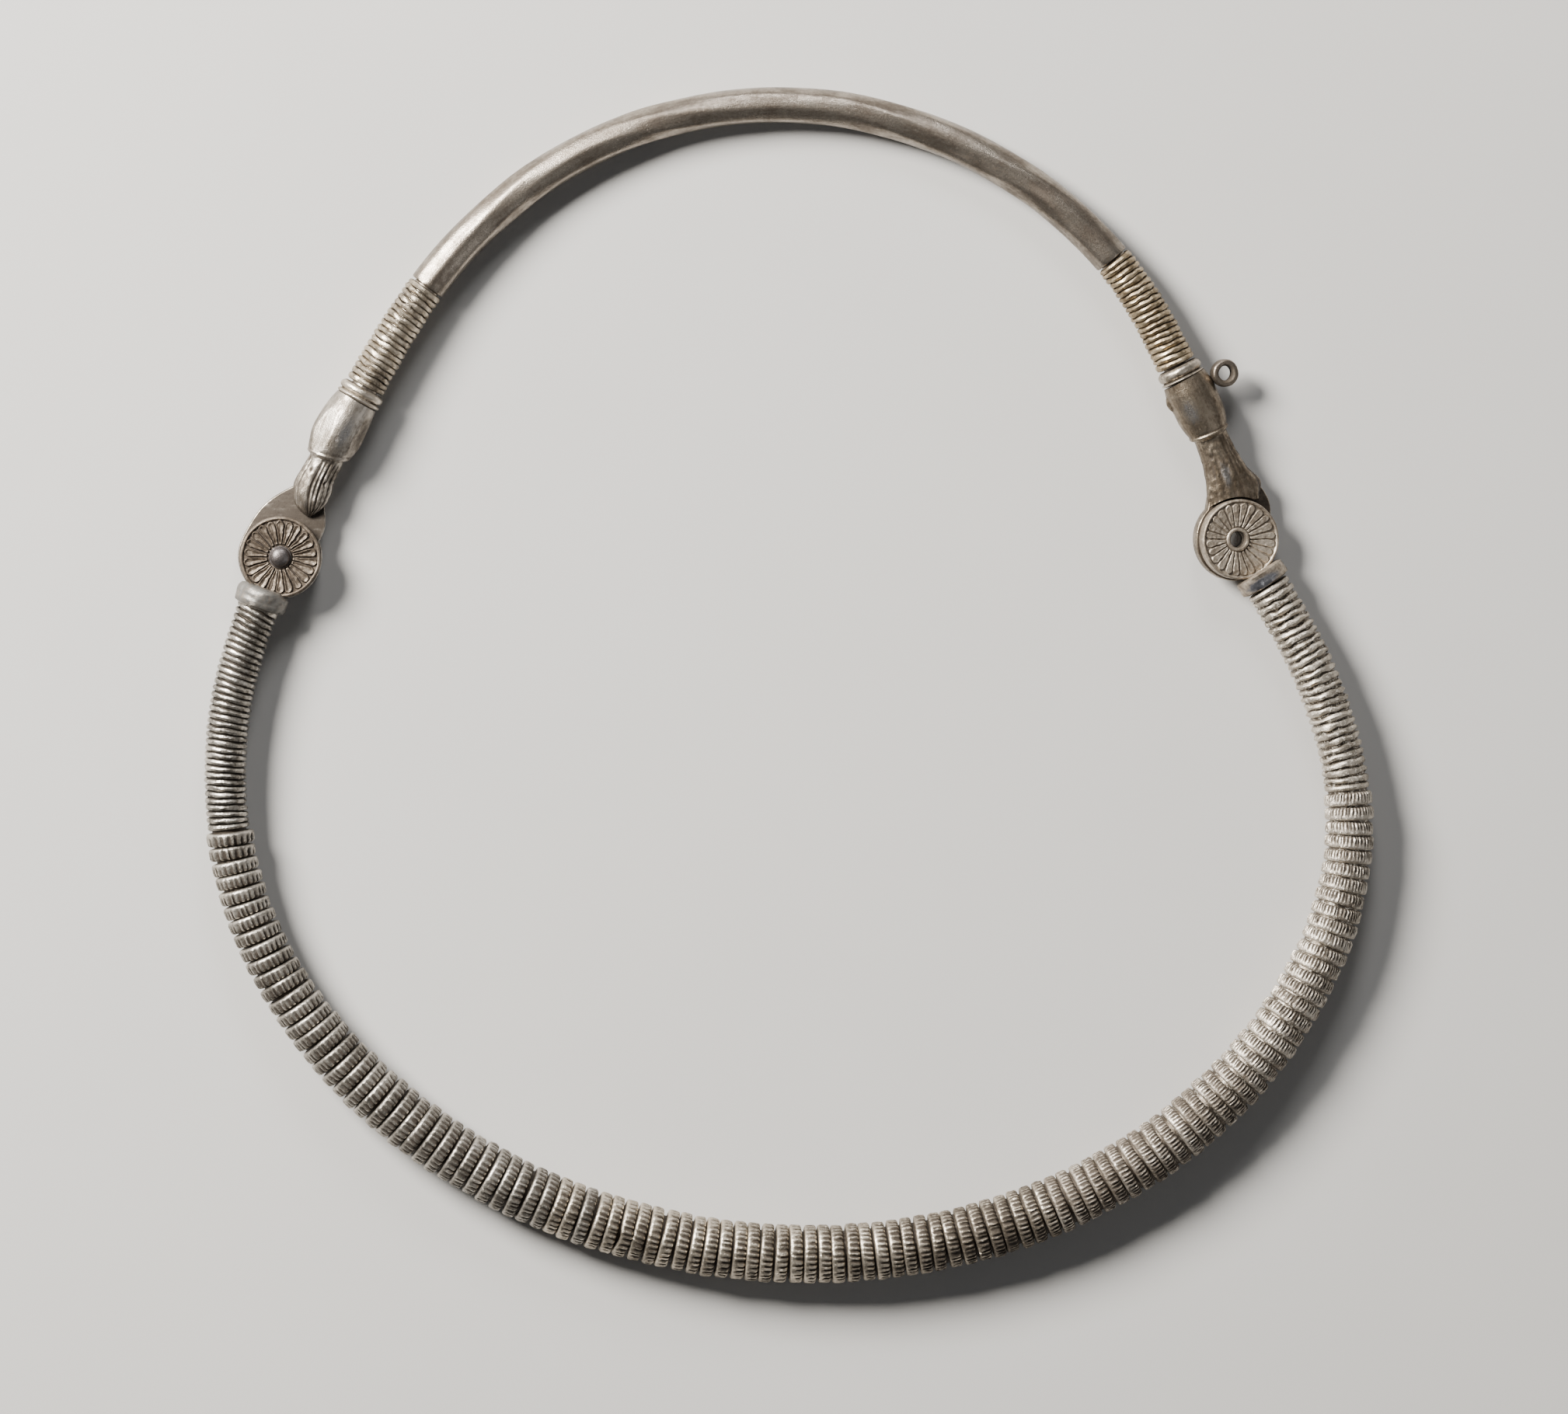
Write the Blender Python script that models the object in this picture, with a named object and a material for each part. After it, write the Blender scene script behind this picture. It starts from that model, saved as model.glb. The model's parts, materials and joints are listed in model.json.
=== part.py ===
"""Silver torc: a hinged neck ring of two hoops that lies flat, with its two rosettes facing up.

The rear hoop, on the +Y side, is a hammered rod with wire-wound ends and two cast terminals. The front hoop
is a rod covered with plain windings and with notched rings over its swollen middle. Both hoops end in round
plates that lap over each other. The left lap holds a rivet, the hinge. The right lap is the clasp, without
its pin.

Dimensions are in millimetres and become metres when a mesh is written. X runs from the hinge to the clasp,
Y from the front of the neck to the back, and Z up from the table that the torc lies on.
"""

import math

import bmesh
import bpy
import numpy as np
from mathutils import Matrix, Vector

MM = 0.001

# Centrelines of the hoops, as few points as carry their shape, from the left joint to the right one
REAR_LINE = [
    (-62.32, 42.58),
    (-53.02, 57.68),
    (-36.12, 74.08),
    (-12.32, 83.58),
    (12.68, 82.78),
    (36.18, 71.98),
    (49.68, 58.38),
    (56.78, 45.58),
]
FRONT_LINE = [
    (-76.52, 13.48),
    (-80.42, 1.38),
    (-82.02, -12.62),
    (-79.62, -29.62),
    (-68.82, -49.92),
    (-49.12, -67.62),
    (-22.82, -79.22),
    (5.88, -82.72),
    (34.58, -77.32),
    (59.18, -63.22),
    (75.38, -43.32),
    (81.58, -21.62),
    (78.88, -4.62),
    (73.18, 8.38),
    (68.78, 15.68),
]
# Centrelines of the cast terminals, from the rod's end to the tip of the neck
LEFT_TERMINAL_LINE = [(-62.32, 42.58), (-63.20, 41.09), (-67.05, 33.44), (-69.25, 29.04), (-69.85, 24.98)]
RIGHT_TERMINAL_LINE = [(56.78, 45.58), (57.65, 44.04), (61.10, 36.58), (63.85, 29.58), (64.85, 24.19)]
HINGE = (-74.02, 19.08)
CLASP = (65.05, 21.39)

# Heights of the centrelines above the table
JOINT_HEIGHT = 3.85
CROWN_HEIGHT = 2.60
FRONT_HEIGHT = 4.28

# Gaps
FIT_GAP = 0.3
RUNNING_GAP = 0.07

# Rear rod: diameter at even steps from left to right, and the necked ends that carry the windings
ROD_DIAMETERS = [5.40, 5.25, 5.10, 5.20, 5.35, 5.40]
ROD_END_DIAMETER = 4.0
REAR_WIRE_TURNS = {"left": 18, "right": 19}
REAR_WIRE_PITCH = 0.93
REAR_WINDING_DIAMETERS = (5.50, 6.00)
REAR_COLLAR_LENGTH = 2.1
REAR_COLLAR_DIAMETERS = {"left": 6.75, "right": 6.65}

# Front rod and what covers it
CORE_END_DIAMETER = 4.1
CORE_MIDDLE_DIAMETER = 5.2
FRONT_WIRE_TURNS = {"left": 35, "right": 27}
FRONT_WIRE_PITCH = {"left": 0.95, "right": 1.19}
FRONT_WINDING_DIAMETERS = {"left": 6.15, "right": 6.60}
WIRE_GROOVE = 0.28
RING_COUNT = 110
RING_DIAMETERS = (6.85, 8.50, 6.95)
RING_SWELL_LENGTH = 65.0
RING_GROOVE = 0.62

# Cast fittings
DISC_RADIUS = 5.85
DISC_THICKNESS = 1.95
PLATE_RADIUS = 6.1
PLATE_THICKNESS = 1.95
PETAL_COUNT = 20
PETAL_RISE = 0.30
RIM_WIDTH = 0.45
HUB_RADIUS = 1.80
HUB_RISE = {"left": 0.10, "right": 0.38}
COLLAR_RADIUS = 3.8
COLLAR_LENGTH = 2.3
RIVET_RADIUS = 1.12
RIVET_HEAD_RADIUS = 1.5
RIVET_HEAD_RISE = 1.0
RIVET_FOOT = 0.75
PIN_HOLE_RADIUS = 1.2
PIN_HOLE_OFFSET = -0.45
CLASP_TWIST = math.radians(14.0)
FLUTE_COUNT = 10
FLUTE_DEPTH = 0.25
LOOP_RADII = (1.05, 2.02)
LOOP_DEPTH = 1.8
LOOP_PLACE = (63.42, 45.59, 4.3)
LOOP_TILT = math.radians(16.0)

# Cast sockets and necks: distance along the terminal's centreline, half width and half height
LEFT_NECK = [
    (1.35, 3.40, 3.30),
    (3.20, 3.72, 3.40),
    (6.40, 3.62, 3.30),
    (10.1, 2.95, 2.75),
    (10.3, 2.50, 2.30),
    (13.0, 2.60, 2.15),
    (16.0, 2.85, 2.05),
    (18.2, 2.70, 1.90),
    (19.4, 1.60, 1.10),
]
RIGHT_NECK = [
    (1.35, 3.40, 3.30),
    (3.20, 3.70, 3.40),
    (6.40, 3.60, 3.30),
    (9.80, 2.90, 2.70),
    (10.0, 2.52, 2.30),
    (13.5, 2.75, 2.15),
    (17.5, 3.40, 2.05),
    (20.5, 3.80, 1.80),
]

# The plates' outlines where they run out to their necks, as seen from the hole, and the arcs that close them
LEFT_WEB = [(6.6, 4.6), (6.5, 6.9), (6.3, 9.2), (3.2, 10.6), (1.3, 9.9), (-2.2, 7.6), (-3.9, 5.5)]
LEFT_ARC = (153.0, 381.0)
RIGHT_WEB = [(5.2, 5.0), (3.8, 7.6), (1.8, 9.3), (-2.5, 9.1), (-4.1, 5.6)]
RIGHT_ARC = (135.0, 390.0)

# How finely the solids are faceted
WIRE_SIDES = 8
ROD_SIDES = 12
CAST_SIDES = 12
ARC_STEPS = 18
STATION_STEP = 9.0


class Centreline:
    """A smooth curve through a few points, read by distance along it. It runs on straight past its ends."""

    def __init__(self, points, end_height, middle_height, samples=1500):
        points = np.array(points, float)
        self.end_height = end_height
        self.middle_height = middle_height
        knots = np.concatenate([[0.0], np.cumsum(np.hypot(*np.diff(points, axis=0).T))])
        bends = self.natural_bends(knots, points)
        at = np.linspace(0.0, knots[-1], samples)
        self.xy = self.cubic(knots, points, bends, at)
        self.distance = np.concatenate([[0.0], np.cumsum(np.hypot(*np.diff(self.xy, axis=0).T))])
        self.length = float(self.distance[-1])

    @staticmethod
    def natural_bends(knots, points):
        """Second derivatives of the natural cubic spline at its knots."""
        gaps = np.diff(knots)
        count = len(points)
        matrix = np.eye(count)
        right = np.zeros_like(points)
        for i in range(1, count - 1):
            matrix[i, i - 1 : i + 2] = gaps[i - 1], 2 * (gaps[i - 1] + gaps[i]), gaps[i]
            ahead = (points[i + 1] - points[i]) / gaps[i]
            behind = (points[i] - points[i - 1]) / gaps[i - 1]
            right[i] = 6 * (ahead - behind)
        return np.linalg.solve(matrix, right)

    @staticmethod
    def cubic(knots, points, bends, at):
        i = np.clip(np.searchsorted(knots, at, side="right") - 1, 0, len(knots) - 2)
        gap = knots[i + 1] - knots[i]
        a = ((knots[i + 1] - at) / gap)[:, None]
        b = 1 - a
        curve = ((a**3 - a) * bends[i] + (b**3 - b) * bends[i + 1]) * (gap**2 / 6)[:, None]
        return a * points[i] + b * points[i + 1] + curve

    def frame(self, s):
        """The point at distance s, and the level direction to the curve's left there."""
        inside = min(max(s, 0.0), self.length)
        here = np.array([np.interp(inside, self.distance, self.xy[:, k]) for k in (0, 1)])
        low = max(inside - 0.5, 0.0)
        high = min(inside + 0.5, self.length)
        along = np.array([np.interp([low, high], self.distance, self.xy[:, k]) for k in (0, 1)])
        along = along[:, 1] - along[:, 0]
        along /= np.hypot(*along)
        here = here + along * (s - inside)
        rise = 1 - math.cos(math.pi * inside / self.length) ** 4
        height = self.end_height + (self.middle_height - self.end_height) * rise
        return Vector((here[0], here[1], height)), Vector((-along[1], along[0], 0.0))


REAR = Centreline(REAR_LINE, JOINT_HEIGHT, CROWN_HEIGHT)
FRONT = Centreline(FRONT_LINE, JOINT_HEIGHT, FRONT_HEIGHT)
LEFT_TERMINAL = Centreline(LEFT_TERMINAL_LINE, JOINT_HEIGHT, JOINT_HEIGHT)
RIGHT_TERMINAL = Centreline(RIGHT_TERMINAL_LINE, JOINT_HEIGHT, JOINT_HEIGHT)


def smooth_step(t):
    t = min(max(t, 0.0), 1.0)
    return t * t * (3 - 2 * t)


def lerp(a, b, t):
    return a + (b - a) * t


# Where each covering starts and ends along its hoop
COLLAR_HALF = COLLAR_LENGTH / 2
FRONT_WIND_START = COLLAR_HALF + FIT_GAP
RING_START = FRONT_WIND_START + FRONT_WIRE_TURNS["left"] * FRONT_WIRE_PITCH["left"] + FIT_GAP
FRONT_WIND_END = FRONT.length - COLLAR_HALF - FIT_GAP
RING_END = FRONT_WIND_END - FRONT_WIRE_TURNS["right"] * FRONT_WIRE_PITCH["right"] - FIT_GAP
REAR_COLLAR_HALF = REAR_COLLAR_LENGTH / 2
REAR_WIND_START = REAR_COLLAR_HALF + FIT_GAP
REAR_WIND_LEFT_END = REAR_WIND_START + REAR_WIRE_TURNS["left"] * REAR_WIRE_PITCH
REAR_WIND_END = REAR.length - REAR_WIND_START
REAR_WIND_RIGHT_START = REAR_WIND_END - REAR_WIRE_TURNS["right"] * REAR_WIRE_PITCH


def ring_radius(s):
    """Outer radius of the notched rings, swelling from both ends to the middle."""
    start, middle, end = (d / 2 for d in RING_DIAMETERS)
    from_start = smooth_step((s - RING_START) / RING_SWELL_LENGTH)
    from_end = smooth_step((RING_END - s) / RING_SWELL_LENGTH)
    return min(lerp(start, middle, from_start), lerp(end, middle, from_end))


def core_radius(s):
    """Radius of the front rod, which swells a little under the notched rings."""
    from_start = smooth_step((s - RING_START) / RING_SWELL_LENGTH)
    from_end = smooth_step((RING_END - s) / RING_SWELL_LENGTH)
    return lerp(CORE_END_DIAMETER, CORE_MIDDLE_DIAMETER, from_start * from_end) / 2


def rod_radius(s):
    """Radius of the hammered rear rod between its windings."""
    t = (s - REAR_WIND_LEFT_END) / (REAR_WIND_RIGHT_START - REAR_WIND_LEFT_END)
    steps = np.linspace(0.0, 1.0, len(ROD_DIAMETERS))
    return float(np.interp(t, steps, ROD_DIAMETERS)) / 2


def stations(start, end, step=STATION_STEP):
    """Even places from start to end, about a step apart."""
    return np.linspace(start, end, max(2, round((end - start) / step) + 1))


def turn(profile, sides, closed):
    """A body turned about X from points (distance along X, radius), with flats facing Y and Z.

    The radii are those of the flats, so the body is as wide and as high as the round form it stands for."""
    bm = bmesh.new()
    flat = 1 / math.cos(math.pi / sides)
    turned = Matrix.Rotation(math.pi / sides, 3, "X")
    verts = [bm.verts.new(turned @ Vector((x, 0.0, r * flat))) for x, r in profile]
    edges = [bm.edges.new(pair) for pair in zip(verts, verts[1:])]
    if closed:
        edges.append(bm.edges.new((verts[-1], verts[0])))
    bmesh.ops.spin(
        bm,
        geom=verts + edges,
        cent=(0.0, 0.0, 0.0),
        axis=(1.0, 0.0, 0.0),
        dvec=(0.0, 0.0, 0.0),
        angle=2 * math.pi,
        steps=sides,
        use_merge=True,
    )
    bmesh.ops.remove_doubles(bm, verts=bm.verts, dist=1e-3)
    bmesh.ops.recalc_face_normals(bm, faces=bm.faces)
    return bm


def bend(bm, line):
    """Bends a straight body that lies along X so that it follows a centreline."""
    for vert in bm.verts:
        here, left = line.frame(vert.co.x)
        vert.co = here + left * vert.co.y + Vector((0.0, 0.0, vert.co.z))


def silver(name, color, roughness):
    material = bpy.data.materials.new(name)
    material.use_nodes = True
    shader = material.node_tree.nodes["Principled BSDF"]
    shader.inputs["Base Color"].default_value = (*color, 1.0)
    shader.inputs["Metallic"].default_value = 1.0
    shader.inputs["Roughness"].default_value = roughness
    return material


def add(name, bm, color=(0.50, 0.47, 0.42), roughness=0.45):
    """Writes a body in millimetres as an object in metres with its own material."""
    bm.transform(Matrix.Scale(MM, 4))
    mesh = bpy.data.meshes.new(name)
    bm.to_mesh(mesh)
    bm.free()
    mesh.shade_smooth()
    mesh.set_sharp_from_angle(angle=math.radians(32.0))
    mesh.materials.append(silver(name, color, roughness))
    obj = bpy.data.objects.new(name, mesh)
    bpy.context.scene.collection.objects.link(obj)
    return obj


def add_helper(name, bm):
    """A body that only cuts or joins another, left out of the model itself."""
    helper = add(name, bm)
    helper.hide_render = True
    helper.display_type = "WIRE"
    return helper


def combine(target, helper, operation):
    modifier = target.modifiers.new(f"{operation.lower()} {helper.name}", "BOOLEAN")
    modifier.operation = operation
    modifier.solver = "EXACT"
    modifier.object = helper


def ribbed_sleeve(start, end, turns, outer, groove, inner):
    """A straight sleeve with one rib for each turn or ring. outer and inner give its radii along X."""
    ribs = np.linspace(start, end, 2 * turns + 1)
    profile = [(x, outer(x) - (groove if i % 2 == 0 else 0.0)) for i, x in enumerate(ribs)]
    wall = [(x, inner(x)) for x in stations(start, end)[::-1]]
    return turn(profile + wall, WIRE_SIDES, closed=True)


def make_notched_rings():
    bm = ribbed_sleeve(
        RING_START,
        RING_END,
        RING_COUNT,
        ring_radius,
        RING_GROOVE,
        lambda x: core_radius(x) + FIT_GAP,
    )
    bend(bm, FRONT)
    add("notched_rings", bm, (0.52, 0.49, 0.44))


def make_front_winding(side, start, end):
    radius = FRONT_WINDING_DIAMETERS[side] / 2
    bm = ribbed_sleeve(
        start,
        end,
        FRONT_WIRE_TURNS[side],
        lambda x: radius,
        WIRE_GROOVE,
        lambda x: core_radius(x) + FIT_GAP,
    )
    bend(bm, FRONT)
    add(f"front_winding_{side}", bm, (0.48, 0.46, 0.43))


def make_rear_winding(side, start, end):
    thin, thick = (d / 2 for d in REAR_WINDING_DIAMETERS)
    at_start, at_end = (thick, thin) if side == "left" else (thin, thick)
    bm = ribbed_sleeve(
        start,
        end,
        REAR_WIRE_TURNS[side],
        lambda x: lerp(at_start, at_end, (x - start) / (end - start)),
        WIRE_GROOVE,
        lambda x: ROD_END_DIAMETER / 2 + FIT_GAP,
    )
    bend(bm, REAR)
    add(f"rear_winding_{side}", bm, (0.52, 0.47, 0.38))


def make_rear_collar(side, middle):
    """The double-beaded end ring between a rear winding and its terminal."""
    outer = REAR_COLLAR_DIAMETERS[side] / 2
    inner = ROD_END_DIAMETER / 2 + FIT_GAP
    left = middle - REAR_COLLAR_HALF
    step = REAR_COLLAR_LENGTH / 6
    rises = [0.45, 0.0, 0.0, 0.35, 0.0, 0.0, 0.45]
    profile = [(left + i * step, outer - rise) for i, rise in enumerate(rises)]
    profile += [(left + REAR_COLLAR_LENGTH, inner), (left, inner)]
    bm = turn(profile, ROD_SIDES, closed=True)
    bend(bm, REAR)
    add(f"rear_collar_{side}", bm, (0.52, 0.49, 0.44))


def make_rear_rod():
    """The hammered rod, necked at both ends to carry the windings and collars."""
    neck = ROD_END_DIAMETER / 2
    left_end = -REAR_COLLAR_HALF
    right_end = REAR.length + REAR_COLLAR_HALF
    left_step = REAR_WIND_LEFT_END + FIT_GAP
    right_step = REAR_WIND_RIGHT_START - FIT_GAP
    profile = [(left_end, 0.0)]
    profile += [(x, neck) for x in stations(left_end, left_step)]
    profile += [(x, rod_radius(x)) for x in stations(left_step, right_step, 8.0)]
    profile += [(x, neck) for x in stations(right_step, right_end)]
    profile += [(right_end, 0.0)]
    bm = turn(profile, ROD_SIDES, closed=False)
    bend(bm, REAR)
    add("rear_rod", bm, (0.47, 0.43, 0.38), 0.35)


def make_front_core():
    start = COLLAR_HALF + FIT_GAP
    end = FRONT.length - COLLAR_HALF - FIT_GAP
    profile = [(start, 0.0)] + [(x, core_radius(x)) for x in stations(start, end)] + [(end, 0.0)]
    bm = turn(profile, WIRE_SIDES, closed=False)
    bend(bm, FRONT)
    add("front_core", bm, (0.45, 0.42, 0.38))


def joint_frame(place, twist=0.0):
    """Where a lap joint's parting plane and axis lie."""
    return Matrix.Translation((place[0], place[1], JOINT_HEIGHT)) @ Matrix.Rotation(twist, 4, "Y")


def stand(bm, frame):
    """Turns a body made along X upright and puts it in a frame."""
    bm.transform(frame @ Matrix.Rotation(math.radians(-90.0), 4, "Y"))


def cylinder(radius, low, high, sides, frame, offset=0.0):
    """An upright prism between two heights, for holes and clearances, set off along X from the axis."""
    bm = bmesh.new()
    bmesh.ops.create_cone(
        bm,
        cap_ends=True,
        segments=sides,
        radius1=radius,
        radius2=radius,
        depth=high - low,
    )
    bm.transform(frame @ Matrix.Translation((offset, 0.0, (low + high) / 2)))
    return bm


def lap_plate(web, arc, frame):
    """A round plate that runs out into a web towards its terminal's neck."""
    angles = [math.radians(lerp(*arc, i / ARC_STEPS)) for i in range(ARC_STEPS + 1)]
    outline = [(PLATE_RADIUS * math.cos(a), PLATE_RADIUS * math.sin(a)) for a in angles] + web
    bottom = -FIT_GAP / 2 - PLATE_THICKNESS
    bm = bmesh.new()
    face = bm.faces.new([bm.verts.new((x, y, bottom)) for x, y in outline])
    raised = bmesh.ops.extrude_face_region(bm, geom=[face])["geom"]
    moved = [item for item in raised if isinstance(item, bmesh.types.BMVert)]
    bmesh.ops.translate(bm, verts=moved, vec=(0.0, 0.0, PLATE_THICKNESS))
    bmesh.ops.recalc_face_normals(bm, faces=bm.faces)
    bm.transform(frame)
    return bm


def cast_neck(profile, line):
    """The terminal's smooth swelling socket and its fluted, flatter neck."""
    sides = 2 * FLUTE_COUNT
    bm = turn([(x, 1.0) for x, _, _ in profile], sides, closed=False)
    bmesh.ops.holes_fill(bm, edges=bm.edges)
    bmesh.ops.recalc_face_normals(bm, faces=bm.faces)
    places, widths, heights = zip(*profile)
    neck_start = places[4]
    for vert in bm.verts:
        x = vert.co.x
        dip = 0.0
        if x > neck_start - 0.01:
            angle = math.atan2(vert.co.z, vert.co.y) - math.pi / sides
            dip = FLUTE_DEPTH * (0.5 - 0.5 * math.cos(FLUTE_COUNT * angle))
        vert.co.y *= float(np.interp(x, places, widths)) - dip
        vert.co.z *= float(np.interp(x, places, heights)) - dip
    bend(bm, line)
    return bm


def make_terminal(side, line, profile, web, arc, frame, hole_radius, hole_offset):
    """Socket, neck and lap plate in one casting, cut back where the rosette's disc turns over the plate."""
    name = f"terminal_{side}"
    terminal = add(name, cast_neck(profile, line), (0.50, 0.48, 0.45), 0.4)
    sweep = cylinder(DISC_RADIUS + FIT_GAP + 0.1, -FIT_GAP / 2 - 0.3, 12.0, 40, frame)
    combine(terminal, add_helper(f"{name}_sweep", sweep), "DIFFERENCE")
    combine(terminal, add_helper(f"{name}_plate", lap_plate(web, arc, frame)), "UNION")
    hole = cylinder(hole_radius, -4.0, 1.0, 24, frame, hole_offset)
    combine(terminal, add_helper(f"{name}_hole", hole), "DIFFERENCE")


def rosette_disc(side, frame, hole_offset):
    """A disc with a raised rim and tongue petals round a plain hub, which keeps round the hole."""
    base = FIT_GAP / 2
    face = base + DISC_THICKNESS
    floor = face - PETAL_RISE
    rim = DISC_RADIUS - RIM_WIDTH
    profile = [
        (base, 0.0),
        (base, DISC_RADIUS),
        (face, DISC_RADIUS),
        (face, rim),
        (floor, rim - 0.2),
        (floor, HUB_RADIUS),
        (floor + HUB_RISE[side], HUB_RADIUS - 0.3),
        (floor + HUB_RISE[side], 0.0),
    ]
    sides = 2 * PETAL_COUNT
    bm = turn(profile, sides, closed=False)
    for vert in bm.verts:
        reach = math.hypot(vert.co.y, vert.co.z)
        if abs(vert.co.x - floor) < 0.01 and reach > HUB_RADIUS - 0.1:
            angle = math.atan2(vert.co.z, vert.co.y) - math.pi / sides
            ridge = 0.5 + 0.5 * math.cos(PETAL_COUNT * angle)
            vert.co.x += PETAL_RISE * ridge * (0.9 if reach > DISC_RADIUS / 2 else 0.5)
        vert.co.z -= hole_offset * min(1.0, (rim - min(reach, rim)) / (rim - HUB_RADIUS))
    stand(bm, frame)
    return bm


def make_rosette(side, place, frame, hole_radius, hole_offset):
    """Disc and end collar in one casting. The collar is cut back round the plate that turns beneath."""
    name = f"rosette_{side}"
    edge = 0.35
    profile = [
        (place - COLLAR_HALF, 0.0),
        (place - COLLAR_HALF, COLLAR_RADIUS - edge),
        (place - COLLAR_HALF + edge, COLLAR_RADIUS),
        (place + COLLAR_HALF - edge, COLLAR_RADIUS),
        (place + COLLAR_HALF, COLLAR_RADIUS - edge),
        (place + COLLAR_HALF, 0.0),
    ]
    bm = turn(profile, CAST_SIDES, closed=False)
    bend(bm, FRONT)
    rosette = add(name, bm, (0.48, 0.44, 0.38))
    clearance = cylinder(PLATE_RADIUS + FIT_GAP, -8.0, FIT_GAP / 2 + 0.1, 40, frame)
    combine(rosette, add_helper(f"{name}_clearance", clearance), "DIFFERENCE")
    combine(rosette, add_helper(f"{name}_disc", rosette_disc(side, frame, hole_offset)), "UNION")
    hole = cylinder(hole_radius, -1.0, 4.0, 24, frame, hole_offset)
    combine(rosette, add_helper(f"{name}_hole", hole), "DIFFERENCE")


def make_hinge_rivet():
    """The left joint's rivet: a flat lower head, a shank with running clearance and a domed upper head."""
    flat = math.cos(math.pi / CAST_SIDES)
    shank = RIVET_RADIUS * flat
    under = -FIT_GAP / 2 - PLATE_THICKNESS - 0.1
    over = FIT_GAP / 2 + DISC_THICKNESS - PETAL_RISE + HUB_RISE["left"] + 0.1
    profile = [
        (under - RIVET_FOOT, 0.0),
        (under - RIVET_FOOT, RIVET_HEAD_RADIUS - 0.2),
        (under, RIVET_HEAD_RADIUS),
        (under, shank),
        (over, shank),
        (over, RIVET_HEAD_RADIUS),
        (over + 0.6 * RIVET_HEAD_RISE, 0.82 * RIVET_HEAD_RADIUS),
        (over + 0.92 * RIVET_HEAD_RISE, 0.42 * RIVET_HEAD_RADIUS),
        (over + RIVET_HEAD_RISE, 0.0),
    ]
    bm = turn(profile, CAST_SIDES, closed=False)
    stand(bm, joint_frame(HINGE))
    add("hinge_rivet", bm, (0.40, 0.36, 0.33), 0.35)


def make_chain_loop():
    """The short tube ring beside the right socket."""
    inner, outer = LOOP_RADII
    half = LOOP_DEPTH / 2
    edge = 0.3
    profile = [
        (-half, inner + edge),
        (-half, outer - edge),
        (-half + edge, outer),
        (half - edge, outer),
        (half, outer - edge),
        (half, inner + edge),
        (half - edge, inner),
        (edge - half, inner),
    ]
    bm = turn(profile, CAST_SIDES, closed=True)
    stand(bm, Matrix.Translation(LOOP_PLACE) @ Matrix.Rotation(LOOP_TILT, 4, "Y"))
    add("chain_loop", bm, (0.52, 0.48, 0.41))


def clear_scene():
    for obj in bpy.data.objects[:]:
        bpy.data.objects.remove(obj)


def hang_on_hinge(names):
    """Parents the swinging hoop's pieces to an empty on the rivet's axis, where they stay in place."""
    hinge = bpy.data.objects.new("hinge_axis", None)
    hinge.location = Vector((*HINGE, JOINT_HEIGHT)) * MM
    bpy.context.scene.collection.objects.link(hinge)
    for name in names:
        piece = bpy.data.objects[name]
        piece.parent = hinge
        piece.matrix_parent_inverse = Matrix.Translation(-hinge.location)


def make_rear_hoop():
    make_rear_rod()
    make_rear_winding("left", REAR_WIND_START, REAR_WIND_LEFT_END)
    make_rear_winding("right", REAR_WIND_RIGHT_START, REAR_WIND_END)
    make_rear_collar("left", 0.0)
    make_rear_collar("right", REAR.length)
    hinge_hole = RIVET_RADIUS + RUNNING_GAP + 0.01
    hinge = joint_frame(HINGE)
    clasp = joint_frame(CLASP, CLASP_TWIST)
    make_terminal("left", LEFT_TERMINAL, LEFT_NECK, LEFT_WEB, LEFT_ARC, hinge, hinge_hole, 0.0)
    pin_hole = (PIN_HOLE_RADIUS, PIN_HOLE_OFFSET)
    make_terminal("right", RIGHT_TERMINAL, RIGHT_NECK, RIGHT_WEB, RIGHT_ARC, clasp, *pin_hole)
    make_chain_loop()


def make_front_hoop():
    make_front_core()
    make_front_winding("left", FRONT_WIND_START, RING_START - FIT_GAP)
    make_front_winding("right", RING_END + FIT_GAP, FRONT_WIND_END)
    make_notched_rings()
    clasp = joint_frame(CLASP, CLASP_TWIST)
    make_rosette("left", 0.0, joint_frame(HINGE), RIVET_RADIUS + RUNNING_GAP + 0.01, 0.0)
    make_rosette("right", FRONT.length, clasp, PIN_HOLE_RADIUS, PIN_HOLE_OFFSET)
    make_hinge_rivet()


clear_scene()
make_rear_hoop()
hang_on_hinge([obj.name for obj in bpy.data.objects if not obj.hide_render])
make_front_hoop()
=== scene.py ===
"""Dresses the silver torc's solids with their fine surface: coils of real wire, notched rings, hammer
marks, chased petals and aged silver.

Every piece is made straight or upright in millimetres, is bent along its hoop or set in its joint, and
rides on the hoop it belongs to. The hoops' centrelines and joints are those of the solids.
"""

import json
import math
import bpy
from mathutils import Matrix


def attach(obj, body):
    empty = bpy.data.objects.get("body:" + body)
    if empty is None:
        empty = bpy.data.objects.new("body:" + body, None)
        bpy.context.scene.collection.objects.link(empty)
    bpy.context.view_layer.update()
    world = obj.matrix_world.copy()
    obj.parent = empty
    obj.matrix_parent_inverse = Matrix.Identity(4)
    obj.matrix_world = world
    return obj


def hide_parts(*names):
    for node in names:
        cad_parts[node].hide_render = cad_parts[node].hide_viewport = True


bl_info = {
    "name": "Silver Torc",
    "version": (1, 0, 0),
    "blender": (4, 5, 0),
    "location": "View3D > Sidebar > Torc",
    "description": "Builds the fine surface of a hinged silver neck ring round its solids",
    "category": "Add Mesh",
}

import bmesh
import bpy
import numpy as np
from bpy.props import FloatProperty, FloatVectorProperty, PointerProperty
from mathutils import Matrix, Vector, noise

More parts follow.
